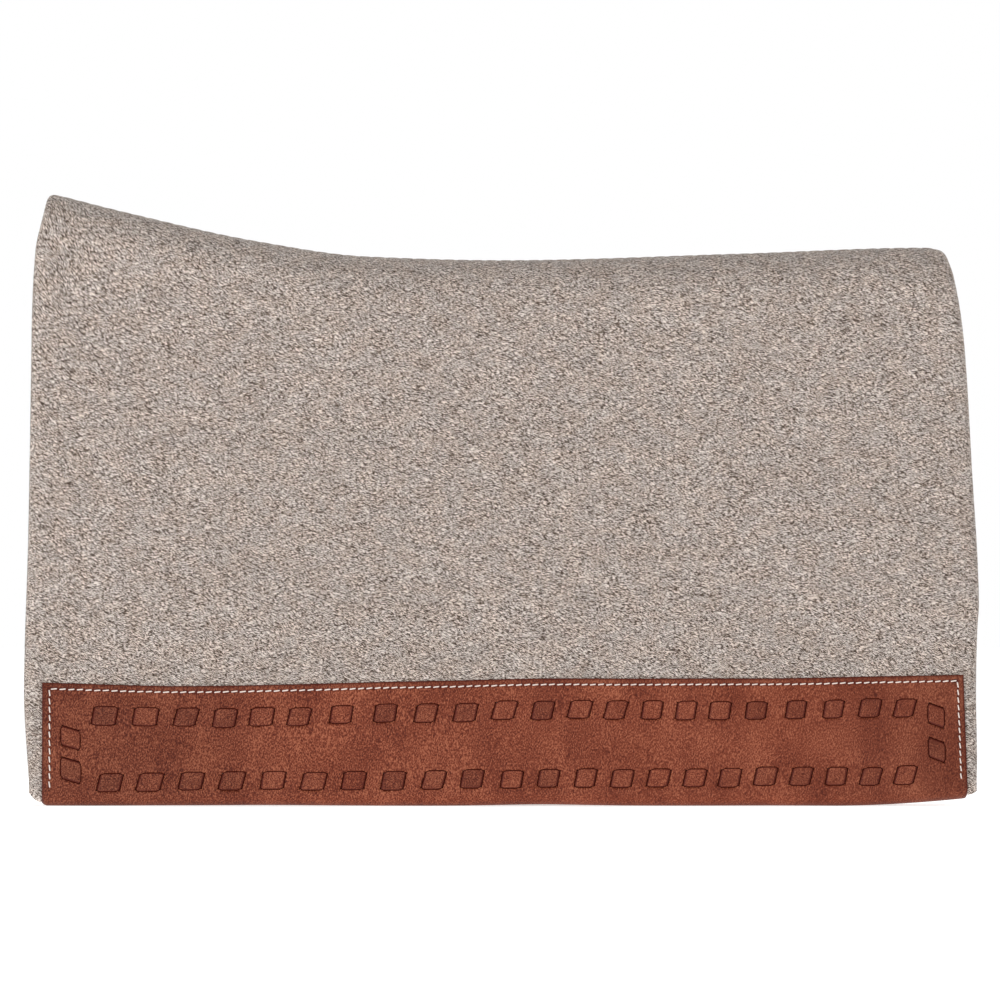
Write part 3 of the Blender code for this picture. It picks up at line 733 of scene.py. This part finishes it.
def columns_between(profile):
    """Columns from the front tip to the rear tip: share of the width, shift along x, depth."""
    start = profile[-1][0]
    count = round((COVER_WIDTH - 2 * start) / CELL)
    columns = [(0.0, inset, depth) for inset, depth in profile]
    for index in range(1, count):
        share = index / count
        columns.append((share, start * (1.0 - 2.0 * share), profile[-1][1]))
    return np.array(columns + [(1.0, -inset, depth) for inset, depth in reversed(profile)])


def edges_at(down):
    """Front and rear x of the outline at a distance down both edges."""
    edges = []
    for edge in (FRONT_EDGE, REAR_EDGE):
        edges.append(curve(edge, place(edge[-1][1], down, ROLL_RADIUS, 1.0)[..., 2]))
    return edges


def row_shares(*near_crest):
    """Shares of the way down from the crest to the lower end, with closer rows at the crest."""
    count = round(SIDE_LENGTH / CELL)
    rows = [down / SIDE_LENGTH for down in near_crest]
    return np.array(rows + [index / count for index in range(1, count + 1)])


def lay_out(shares, columns, end_height, turn_rows=(), turn_radius=0.0, middle=0.0):
    """Grids of x, distance down and depth. turn_rows are angles that close the lower end."""
    front_top, front_low = arch(FRONT_EDGE[-1][1])[3], leg_length(cover_bottom(FRONT_EDGE[0][1]))
    rear_top, rear_low = arch(REAR_EDGE[-1][1])[3], leg_length(cover_bottom(REAR_EDGE[0][1]))
    rows = []
    for share in shares:
        front = edges_at(front_top + (front_low - front_top) * share)[0]
        rear = edges_at(rear_top + (rear_low - rear_top) * share)[1]
        x = front + (rear - front) * columns[:, 0] + columns[:, 1]
        n = columns[:, 2]
        crest = arch(x)[3]
        end = leg_length(end_height(x) + turn_radius)
        level = leg_length(end_height(x) + turn_radius, n) - end
        down = crest + (end - crest) * share
        rows.append((x, down + level * smooth((share - 0.5) * 2.0), n + 0.0 * x))
    x, _, n = rows[-1]
    for angle in turn_rows:
        turned = middle + (n - middle) * math.cos(angle)
        low = end_height(x) + turn_radius * (1.0 - math.sin(angle))
        rows.append((x, leg_length(low, turned), turned))
    return (np.array([row[i] for row in rows]) for i in range(3))


def seam_dip(x, front, rear):
    """Depth of the furrow that the edge seams pull into the cover."""
    dips = bump(x - front - EDGE_SEAM_INSET, 0.0023) + bump(rear - x - EDGE_SEAM_INSET, 0.0023)
    return SEAM_FURROW * dips


def lace_dip(x, z):
    """Depth that the laces are pressed into the cover under the wear leather."""
    runs = [
        (z - upper_row_height(x), x, UPPER_ROW_ENDS),
        (z - lower_row_height(x), x, LOWER_ROW_ENDS),
    ]
    runs += [(x - column, z, heights) for column, heights, *_ in (FRONT_COLUMN, REAR_COLUMN)]
    total = 0.0
    for across, along, ends in runs:
        band = smooth((LACE_WIDTH / 2 + DENT_MARGIN + DENT_SLOPE - np.abs(across)) / DENT_SLOPE)
        start = smooth((along - ends[0] + DENT_REACH) / 0.003)
        total = np.maximum(total, band * start * smooth((ends[-1] + DENT_REACH - along) / 0.003))
    return DENT_DEPTH * total


def swell_beside_leather(z, x):
    """The cover stands a little proud just above the leather's sewn edge."""
    return 0.0005 * bump(z - leather_edge(x) - 0.0065, 0.006)


def build_cover(name, side, materials):
    turns = [math.radians(15 * step) for step in range(1, 7)]
    shares = row_shares(0.0, 0.0005, 0.0016)
    grids = []
    for offset in (0.0, COVER):
        columns = columns_between(roll_profile(offset))
        x, down, n = lay_out(shares, columns, lambda x: cover_bottom(x) + offset, turns,
                             COVER_TURN - offset, ROLL_BOTTOM / 2)
        front = (x[:, ROLL_STEPS + 2] - ROLL_RADIUS)[:, None]
        rear = (x[:, -ROLL_STEPS - 3] + ROLL_RADIUS)[:, None]
        outside = np.abs(n - offset) < 0.0095
        z = leg_height(down)
        n = n + outside * (seam_dip(x, front, rear) + lace_dip(x, z) - swell_beside_leather(z, x))
        n[0] += CREST_LIP if offset == 0.0 else -CREST_LIP
        grids.append(place(x, down, n, side))
        if offset == 0.0:
            step = np.hypot(np.diff(columns[:, 0] * COVER_WIDTH + columns[:, 1]), np.diff(columns[:, 2]))
            around = np.concatenate([[0.0], np.cumsum(step)])
            flat = (around[-1], float(np.mean(down[-1] - down[0])))
            cloth = vectors(around - flat[0] / 2, down, 0.5 - side)
            furrow = vectors(x - front - EDGE_SEAM_INSET, rear - x - EDGE_SEAM_INSET, 1.0)
            furrow[~outside] = 1.0
    facts = {"cloth": np.stack([cloth, cloth]), "furrow": np.stack([furrow, furrow])}
    obj = closed_sheet(f"{name}_woven_cover", *grids, materials["cover"], side, facts)
    bend_with(obj)
    stand_for(obj, "cover", f"{name}_cover", f"{name}_cover_top")


def build_layer(name, side, top, bottom, slot, label, material):
    """A plain layer of the pad between two depths, inside the rolled edges."""
    shares = row_shares(0.0)[::2] if slot == "felt" else row_shares(0.0, 0.001)
    inset = ROLL_RADIUS + 0.0004
    grids = []
    for depth in (top, bottom):
        profile = [(inset, (top + bottom) / 2), (inset + 0.0006, depth), (inset + 0.004, depth)]
        x, down, n = lay_out(shares, columns_between(profile), lambda x: hem_height(x) + LEATHER + 0.004)
        grids.append(place(x, down, n, side))
    cloth = vectors(x, down, 0.5 - side)
    facts = {"cloth": np.stack([cloth, cloth])}
    obj = closed_sheet(f"{name}_{label}", *grids, material, side, facts)
    bend_with(obj)
    node = f"{name}_{label.split('_')[1]}"
    stand_for(obj, slot, node, f"{node}_top")
    return obj, (float(np.mean(x[:, -1] - x[:, 0])), float(np.mean(down[-1] - down[0])))


# ---- wear leather


def leather_rear(z, inside):
    """x of the leather's rear edge; the outer flap widens downwards."""
    share = np.clip(z / 0.11, 0.0, 1.0)
    outer = LEATHER_REAR_BOTTOM + (LEATHER_REAR_TOP - LEATHER_REAR_BOTTOM) * share
    return outer + (LEATHER_REAR_INSIDE - outer) * inside


def leather_depth(x, z, side):
    """Depth of the middle of the outer flap at a place on the side."""
    rise = unevenness(LEATHER_WAVES[side], x, z) + 0.0004
    from_top = leather_edge(x) - z
    from_ends = np.minimum(x - LEATHER_FRONT, leather_rear(z, 0.0) - x)
    free = smooth((from_top - 0.002) / 0.02) * smooth((from_ends - 0.002) / 0.02) * smooth((z - 0.004) / 0.02)
    pull = 0.0003 * np.maximum(bump(from_top - LEATHER_SEAM_INSET, 0.002),
                               bump(from_ends - LEATHER_SEAM_INSET, 0.002))
    return LEATHER_OUTSIDE - np.maximum(rise, 0.0) * free + pull


def stitch_phase(x):
    """Stitches counted along the leather's top edge, whose pitch shortens to the rear."""
    span = LEATHER_REAR_TOP - LEATHER_SEAM_INSET - LEATHER_SEAM_FRONT
    share = (x - LEATHER_SEAM_FRONT) / span
    mean = (LEATHER_STITCH_PITCH[0] + LEATHER_STITCH_PITCH[1]) / 2
    lean = (LEATHER_STITCH_PITCH[0] - LEATHER_STITCH_PITCH[1]) / 2 / mean
    total = round(span / mean)
    return total * (share * (1.0 - lean) + lean * share**2)


def seam_facts(x, z, n):
    """Per point: distance inwards from the seam, stitches counted along it, distance from the edge."""
    edge_top = leather_edge(x) - z
    rear = x > 0.0
    edge_side = np.where(rear, leather_rear(z, (n > 0.011) * 1.0) - x, x - LEATHER_FRONT)
    seam_x = np.where(rear, leather_rear(z, 0.0) - LEATHER_SEAM_INSET, LEATHER_SEAM_FRONT)
    pitch = np.where(rear, LEATHER_STITCH_PITCH[1], LEATHER_STITCH_PITCH[0])
    to_top = edge_top - LEATHER_SEAM_INSET
    to_side = np.where(rear, seam_x - x, x - seam_x)
    at_side = np.abs(to_side) < np.abs(to_top)
    beyond = (to_top < -0.002) | (edge_side < LEATHER_SEAM_INSET - 0.002)
    low = z < np.where(rear, LEATHER_SEAM_BOTTOM[1], LEATHER_SEAM_BOTTOM[0]) - 0.002
    across = np.where(at_side, to_side, to_top)
    across = np.where(low & at_side, np.copysign(0.02, across), across)
    across = np.where(beyond, -0.02, across)
    phase = np.where(at_side, to_top / pitch, stitch_phase(x))
    return vectors(across, phase, np.minimum(edge_top, edge_side))


def leather_section():
    """(share of the way up the flap, angle of the hem's turn, side of the pad) down and round."""
    lips = [0.0, 0.003, 0.010, 0.022, 0.040]
    flap = lips + [0.07 + 0.93 * index / 30 for index in range(31)]
    section = [(1.0 - s, 0.0) for s in flap]
    section += [(0.0, math.pi * step / 14) for step in range(1, 14)]
    return section + [(s, math.pi) for s in reversed([1.0 - s for s in flap])]


def mark_leather(obj, side):
    """Note every point's place on the side, and its distances from the seam and the edge."""
    mesh = obj.data
    places = np.empty(len(mesh.vertices) * 3, np.float32)
    mesh.vertices.foreach_get("co", places)
    x, y, z = places.reshape(-1, 3).astype(float).T
    n = (y * side - HINGE_Y) * COS - (z - HINGE_Z) * SIN
    note_facts(mesh, {"place": vectors(x, z, n), "seam": seam_facts(x, z, n)})


def build_leather(name, side, materials, squares):
    edge = [0.0, 0.0004, 0.0011, 0.0022, 0.0040]
    between = np.linspace(0.0064, LEATHER_LENGTH - 0.0064, 201)
    along = np.array([*edge, *between, *(LEATHER_LENGTH - d for d in reversed(edge))]) / LEATHER_LENGTH
    section = leather_section()
    share = np.array([s for s, _ in section])[:, None]
    angle = np.array([a for _, a in section])[:, None]
    inside = (1.0 - np.cos(angle)) / 2
    nominal = LEATHER_FRONT + (LEATHER_REAR_TOP - LEATHER_FRONT) * along[None, :]
    corner = np.maximum(LEATHER_CUT[0] - nominal, 0.0) * LEATHER_CUT[1]
    low = hem_height(nominal) + corner + LEATHER / 2
    centre = low + HEM_TURN
    z = centre + (leather_edge(nominal) - centre) * share - HEM_TURN * np.sin(angle)
    x = LEATHER_FRONT + (leather_rear(z, inside) - LEATHER_FRONT) * along[None, :]
    outer = leather_depth(x, z, side)
    n = outer + (LEATHER_INSIDE - outer) * inside
    middle = place(x, leg_length(z, n), n, side)
    from_rim = np.minimum(leather_edge(x) - z, np.minimum(x - LEATHER_FRONT, leather_rear(z, inside) - x))
    obj = plate(f"{name}_wear_wrap", middle, LEATHER / 2, from_rim, materials["leather"], side)
    cut_pockets(obj, name, side, materials, squares)
    mark_leather(obj, side)
    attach(obj, f"{name}_side")
    stand_for(obj, "leather", f"{name}_wear_leather")


# ---- lacing


def upper_row_height(x):
    return leather_edge(x) - UPPER_ROW_DROP


def lower_row_height(x):
    share = (x - LOWER_ROW_ENDS[0]) / (LOWER_ROW_ENDS[1] - LOWER_ROW_ENDS[0])
    return LOWER_ROW_HEIGHTS[0] + (LOWER_ROW_HEIGHTS[1] - LOWER_ROW_HEIGHTS[0]) * share


def row_centres(ends, drift, strays):
    """Places of a row's squares along x. strays holds (square, reach in squares, shift)."""
    square = np.arange(ROW_SQUARES)
    share = square / (ROW_SQUARES - 1)
    places = ends[0] + (ends[1] - ends[0]) * (share * (1.0 + PITCH_TAPER) - PITCH_TAPER * share**2) + drift
    for middle, reach, shift in strays:
        places = places + shift * bump(square - middle, reach)
    return places


def draw_squares(centres, run="row", width=LACE_WIDTH, shown=LACE_SHOWN):
    """Each square's centre along its strip, shift across it, length, width and slant."""
    squares = []
    for index, centre in enumerate(centres):
        share = index / (len(centres) - 1)
        squares.append({
            "at": centre + DRAW.uniform(-0.0006, 0.0006),
            "shift": DRAW.uniform(-0.0007, 0.0007),
            "length": (shown[0] + (shown[1] - shown[0]) * share) * DRAW.uniform(0.94, 1.06),
            "width": width * DRAW.uniform(0.96, 1.03),
            "slant": LACE_SLANT[run] + DRAW.uniform(-0.07, 0.07),
        })
    return squares


def lace_strips():
    """Each strip's name, its line across the leather and its squares."""
    strips = []
    for name, height, ends, strays in (
        ("upper", upper_row_height, UPPER_ROW_ENDS, UPPER_ROW_STRAYS),
        ("lower", lower_row_height, LOWER_ROW_ENDS, LOWER_ROW_STRAYS),
    ):
        strips.append({"name": name, "height": height, "squares": draw_squares(row_centres(ends, *strays))})
    for name, (x, heights, *size) in (("front", FRONT_COLUMN), ("rear", REAR_COLUMN)):
        strips.append({"name": name, "column": x, "squares": draw_squares(heights, "column", *size)})
    return strips


def strip_place(strip, along, across, depth, slant, side):
    """World places on a strip, depth measured from the middle of the leather."""
    along, across, depth, slant = np.broadcast_arrays(along, across, depth, slant)
    if "column" in strip:
        x = strip["column"] + across
        z = along - slant * across
    else:
        x = along + slant * across
        z = strip["height"](along) + across * COS
    n = leather_depth(x, z, side) + depth
    return place(x, leg_length(z), n, side)


def lace_path(squares):
    """Per station: along, depth, width, shift, slant, square, distance from its square's end."""
    rows = []

    def station(index, sign, inwards, lift, share):
        square = squares[index]
        along = square["at"] + sign * (square["length"] / 2 - inwards)
        depth = LACE_UNDER + (LACE_OVER - LACE_UNDER) * lift
        rows.append((along, depth, square["width"] * share, square["shift"], square["slant"], index, inwards))

    station(0, -1.0, -LACE_TUCK, 0.0, LACE_TUCK_WIDTH)
    for index in range(len(squares)):
        for inwards, lift, share in LACE_RISE:
            station(index, -1.0, inwards, lift, share)
        for inwards, lift, share in reversed(LACE_RISE):
            station(index, 1.0, inwards, lift, share)
    station(len(squares) - 1, 1.0, -LACE_TUCK, 0.0, LACE_TUCK_WIDTH)
    return np.array(rows)


def lace_section():
    """The strip's rounded section as (side of its middle line, inset from that edge, level)."""
    half = LACE_THICKNESS / 2
    quarter = []
    for step in range(3):
        turn = math.radians(45 * step)
        quarter.append((LACE_LIP * (1.0 - math.sin(turn)), half - LACE_LIP * (1.0 - math.cos(turn))))
    quarter = quarter[::-1] + [(inset, half) for inset in LACE_INSETS]
    section = []
    for out, up in ((1, 1), (-1, 1), (-1, -1), (1, -1)):
        turned = quarter if out == up else quarter[::-1]
        section += [(out, inset, up * level) for inset, level in turned]
    return section


def build_lace(name, side, strip, materials):
    """A flat strip that comes up through each slit, crosses its square and goes down again."""
    along, depth, width, shift, slant, index, end = lace_path(strip["squares"]).T
    run, rise = np.gradient(along), np.gradient(depth)
    size = np.hypot(run, rise)
    square = index + 0.5 + ROW_SQUARES * (side < 0.0)
    grid = []
    facts = []
    for out, inset, level in lace_section():
        across = out * (width / 2 - inset) + shift
        spot = along + level * rise / size
        lie = depth - level * run / size
        grid.append(strip_place(strip, spot, across, lie, slant, side))
        facts.append(vectors(inset * (level > 0.0), square, end))
    points = np.array(grid).swapaxes(0, 1)
    faces = tube_faces(0, *points.shape[:2])
    if side < 0.0:
        faces = [face[::-1] for face in faces]
    facts = {"place": points * (1.0, side, 1.0), "strip": np.array(facts).swapaxes(0, 1)}
    obj = add_mesh(f"{name}_{strip['name']}_strip", points, faces, materials["lace"], facts)
    face_outward(obj)
    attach(obj, f"{name}_side")
    stand_for(obj, "lace", f"{name}_lace_{strip['name']}")


def pocket_stations(square):
    """(offset, width share, floor) along one square's groove, with a slit across each end."""
    half = square["length"] / 2
    end = (
        (half + SLIT_OUT, SLIT_WIDTHS[0], SLIT_FLOOR),
        (half - SLIT_IN, SLIT_WIDTHS[1], SLIT_FLOOR),
        (half - SLIT_IN - 0.00003, SLIT_WIDTHS[1], POCKET_FLOOR),
        (half - POCKET_TAPER, 1.0, POCKET_FLOOR),
    )
    front = [(-offset, share, floor) for offset, share, floor in end]
    return front + list(reversed(end))


def cut_pockets(obj, name, side, materials, strips):
    """Cut every square's groove and its two slits out of the leather."""
    points = []
    faces = []
    for strip in strips:
        for square in strip["squares"]:
            stations = pocket_stations(square)
            faces += tube_faces(len(points), len(stations), 4)
            for offset, share, floor in stations:
                wide = square["width"] * share / 2 + POCKET_GAP
                for across, depth in ((-wide, POCKET_TOP), (wide, POCKET_TOP), (wide, floor), (-wide, floor)):
                    points.append(strip_place(strip, square["at"] + offset, across + square["shift"],
                                              depth, square["slant"], side))
    cutter = add_mesh(f"{name}_pocket_cutter", np.array(points), faces, materials["cut"])
    face_outward(cutter)
    cut = obj.modifiers.new("pockets", "BOOLEAN")
    cut.operation = "DIFFERENCE"
    cut.solver = "EXACT"
    cut.object = cutter
    cut.material_mode = "TRANSFER"
    bpy.context.view_layer.update()
    graph = bpy.context.evaluated_depsgraph_get()
    mesh = bpy.data.meshes.new_from_object(obj.evaluated_get(graph), depsgraph=graph)
    obj.modifiers.clear()
    obj.data = mesh
    bpy.data.objects.remove(cutter)


# ---- sewing


def stitches(name, ends, surface, radius, material, arc=0.55, dive=1.7):
    """Separate stitches lying on a surface. ends holds (start, stop) pairs of two plain
    coordinates, and surface(a, b, lift) turns places at a height over it into world places."""
    share = np.linspace(0.0, 1.0, STITCH_RINGS)[None, :, None]
    turn = np.linspace(0.0, 2.0 * math.pi, STITCH_AROUND, endpoint=False)
    a0, b0, a1, b1 = np.array(ends).T[:, :, None, None]
    length = np.hypot(a1 - a0, b1 - b0)
    bow = np.sin(math.pi * share)
    girth = radius * (0.72 + 0.28 * np.minimum(1.0, 2.2 * bow))
    lift = radius * (arc - dive * (1.0 - np.minimum(1.0, 2.6 * bow)) ** 2)
    across = girth * np.cos(turn)
    a = a0 + (a1 - a0) * share - (b1 - b0) / length * across
    b = b0 + (b1 - b0) * share + (a1 - a0) / length * across
    points = surface(*(v.ravel() for v in np.broadcast_arrays(a, b, lift + girth * np.sin(turn))))
    faces = []
    for index in range(len(ends)):
        faces += tube_faces(index * STITCH_RINGS * STITCH_AROUND, STITCH_RINGS, STITCH_AROUND)
    obj = add_mesh(name, points, faces, material, {"thread": vectors(length * share, turn, 0.0)})
    face_outward(obj)
    return obj


def leather_stitch_ends(inside, seed):
    """Ends in x and z of the stitches up the front, along the top and down the rear."""
    draw = random.Random(seed)
    ends = []

    def column(x_at, bottom, pitch):
        top = float(leather_edge(x_at(0.1))) - LEATHER_SEAM_INSET
        count = round((top - bottom) / pitch)
        step = (top - bottom) / count
        for index in range(count):
            high = top - step * (index + (1 - STITCH_SHARE) / 2)
            low = high - step * STITCH_SHARE
            sway = draw.uniform(-STITCH_SWAY, STITCH_SWAY)
            ends.append((x_at(high) - COLUMN_TILT + sway, high, x_at(low) + COLUMN_TILT + sway, low))

    column(lambda z: LEATHER_SEAM_FRONT, LEATHER_SEAM_BOTTOM[0], LEATHER_STITCH_PITCH[0])
    stop = (LEATHER_REAR_INSIDE if inside else LEATHER_REAR_TOP) - LEATHER_SEAM_INSET
    x = np.linspace(LEATHER_SEAM_FRONT, LEATHER_REAR_TOP - LEATHER_SEAM_INSET, 4001)
    phases = stitch_phase(x)
    lean = STITCH_LEAN[inside]
    for index in range(round(float(phases[-1]))):
        middle = index + 0.5
        x0, x1 = np.interp((middle - STITCH_SHARE / 2, middle + STITCH_SHARE / 2), phases, x)
        if x1 > stop:
            continue
        sway = draw.uniform(-STITCH_SWAY, STITCH_SWAY)
        z0, z1 = leather_edge((x0, x1)) - LEATHER_SEAM_INSET
        ends.append((x0, z0 - lean + sway, x1, z1 + lean + sway))
    column(lambda z: float(leather_rear(z, float(inside))) - LEATHER_SEAM_INSET,
           LEATHER_SEAM_BOTTOM[1], LEATHER_STITCH_PITCH[1])
    return ends


def build_leather_stitches(name, side, inside, material):
    def surface(x, z, lift):
        n = LEATHER_INSIDE + LEATHER / 2 + lift
        if not inside:
            n = leather_depth(x, z, side) - LEATHER / 2 - lift
        return place(x, leg_length(z, n), n, side)

    label = f"{name}_leather_{SEAM_SIDE[inside]}"
    ends = leather_stitch_ends(inside, 31 + inside)
    obj = stitches(f"{label}_stitches", ends, surface, THREAD_RADIUS, material)
    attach(obj, f"{name}_side")
    stand_for(obj, "thread", label)


def build_edge_stitches(name, side, edge, inside, material):
    """The seam beside a rolled edge, from the crest down, sunk in its furrow."""
    rear = edge == "rear"
    corner_x = REAR_EDGE[-1][1] if rear else FRONT_EDGE[-1][1]
    top = float(arch(corner_x)[3]) + 0.004
    bottom = float(leg_length(EDGE_SEAM_ENDS[edge]))
    count = round((bottom - top) / EDGE_STITCH_PITCH)
    step = (bottom - top) / count
    ends = []
    for index in range(count):
        start = top + step * (index + (1 - STITCH_SHARE) / 2)
        ends.append((0.0, start, 0.0002, start + step * STITCH_SHARE))

    def surface(shift, down, lift):
        front_x, rear_x = edges_at(down)
        x = (rear_x - EDGE_SEAM_INSET if rear else front_x + EDGE_SEAM_INSET) + shift
        n = ROLL_BOTTOM + lift if inside else SEAM_FURROW - lift
        return place(x, down, n, side)

    label = f"{edge}_edge_{SEAM_SIDE[inside]}"
    obj = stitches(f"{name}_{label}_stitches", ends, surface, EDGE_THREAD_RADIUS, material)
    bend_with(obj)
    stand_for(obj, "wool_thread", f"{name}_{label}")
    if side > 0.0:
        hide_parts(f"{label}_top")


def build_spine_stitches(inside, material):
    """The zigzag that joins the two halves along the spine."""
    front, rear = edges_at(float(arch(FRONT_EDGE[-1][1])[3]))
    start = float(front) + SPINE_SEAM_END
    steps = round((float(rear) - SPINE_SEAM_END - start) / SPINE_SEAM_STEP)
    ends = []
    for index in range(steps):
        x = start + SPINE_SEAM_STEP * index
        reach = SPINE_SEAM_REACH if index % 2 else -SPINE_SEAM_REACH
        ends.append((x + 0.0006, reach * 0.92, x + SPINE_SEAM_STEP - 0.0006, -reach * 0.92))

    def surface(x, y, lift):
        radius, centre, _, _ = arch(x)
        reach = radius - LINING_BOTTOM - lift if inside else radius + lift
        turn = y / radius
        return vectors(x, reach * np.sin(turn), centre + reach * np.cos(turn))

    kind = SEAM_SIDE[inside]
    obj = stitches(f"spine_{kind}_stitches", ends, surface, SPINE_THREAD_RADIUS, material, arc=-0.1)
    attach(obj, "spine")
    stand_for(obj, "thread", f"spine_seam_{kind}")


# ---- stage

VIEW_WIDTH = 0.852  # metres across the picture at PLANE_Y
PLANE_Y = -0.085
AIM_X = -0.0013
AIM_Z = 0.2603
LENS = 1600.0
SENSOR = 36.0
FLOOR_Z = -0.0002
FLOOR_HALF = 40.0
WHITE = (1.0, 1.0, 1.0, 1.0)
ROOM_LIGHT = 0.57
LIT = (0.0, 0.0, 0.25)  # where the lights aim
LIGHTS = (  # name, place, size and power
    ("key", (-3.0, -4.4, 0.5), 2.6, 138.0),
    ("fill", (3.4, -4.0, 0.5), 3.0, 16.0),
    ("back_key", (2.6, 4.2, 2.4), 2.6, 105.0),
    ("back_fill", (-3.4, 4.0, 1.2), 3.0, 38.0),
)


def make_floor():
    nodes = Nodes("floor", roughness=0.9, specular=0.1)
    nodes.shader["Emission Color"].default_value = WHITE
    nodes.shader["Emission Strength"].default_value = 0.58
    corners = ((-1, -1), (1, -1), (1, 1), (-1, 1))
    points = np.array([(x * FLOOR_HALF, y * FLOOR_HALF, FLOOR_Z) for x, y in corners])
    add_mesh("floor", points, [(0, 1, 2, 3)], nodes.colour((0.86, 0.86, 0.86, 1.0)))


def make_room():
    """White all round to look at, and a softer white to light the pad."""
    world = bpy.data.worlds.new("room")
    world.use_nodes = True
    tree = world.node_tree
    light = tree.nodes["Background"]
    shown = tree.nodes.new("ShaderNodeBackground")
    for background, strength in ((light, ROOM_LIGHT), (shown, 1.0)):
        background.inputs[0].default_value = WHITE
        background.inputs[1].default_value = strength
    path = tree.nodes.new("ShaderNodeLightPath")
    mix = tree.nodes.new("ShaderNodeMixShader")
    outputs = (path.outputs["Is Camera Ray"], light.outputs[0], shown.outputs[0])
    for output, socket in zip(outputs, mix.inputs):
        tree.links.new(output, socket)
    tree.links.new(mix.outputs[0], tree.nodes["World Output"].inputs[0])
    bpy.context.scene.world = world


def make_lights():
    for name, at, size, power in LIGHTS:
        light = bpy.data.lights.new(name, "AREA")
        light.size = size
        light.energy = power
        obj = bpy.data.objects.new(name, light)
        obj.location = at
        obj.rotation_euler = (Vector(LIT) - Vector(at)).to_track_quat("-Z", "Y").to_euler()
        bpy.context.scene.collection.objects.link(obj)


def make_camera():
    camera = bpy.data.cameras.new("camera")
    camera.lens = LENS
    camera.sensor_width = SENSOR
    away = VIEW_WIDTH * LENS / SENSOR
    camera.clip_end = away * 10
    obj = bpy.data.objects.new("camera", camera)
    obj.location = (AIM_X, PLANE_Y - away, AIM_Z)
    obj.rotation_euler = (math.pi / 2, 0.0, 0.0)
    bpy.context.scene.collection.objects.link(obj)
    bpy.context.scene.camera = obj
    bpy.context.scene.view_settings.view_transform = "Standard"


# ---- assembly


def build_half(name, side, materials):
    """Every piece of one half of the pad."""
    core, _ = build_layer(name, side, CORE_TOP, CORE_BOTTOM, "felt", "felt_core", materials["felt"])
    lining, flat = build_layer(name, side, LINING_TOP, LINING_BOTTOM, "lining", "wool_lining",
                               materials["lining"])
    build_cover(name, side, materials)
    strips = lace_strips()
    build_leather(name, side, materials, strips)
    for strip in strips:
        build_lace(name, side, strip, materials)
    for inside in (False, True):
        build_leather_stitches(name, side, inside, materials["thread"])
        for edge in EDGE_SEAM_ENDS:
            build_edge_stitches(name, side, edge, inside, materials["wool_thread"])


def main():
    materials = make_materials()
    for name, side in SIDES:
        build_half(name, side, materials)
    for inside in (False, True):
        build_spine_stitches(inside, materials["spine_thread"])
    make_floor()
    make_room()
    make_lights()
    make_camera()


main()
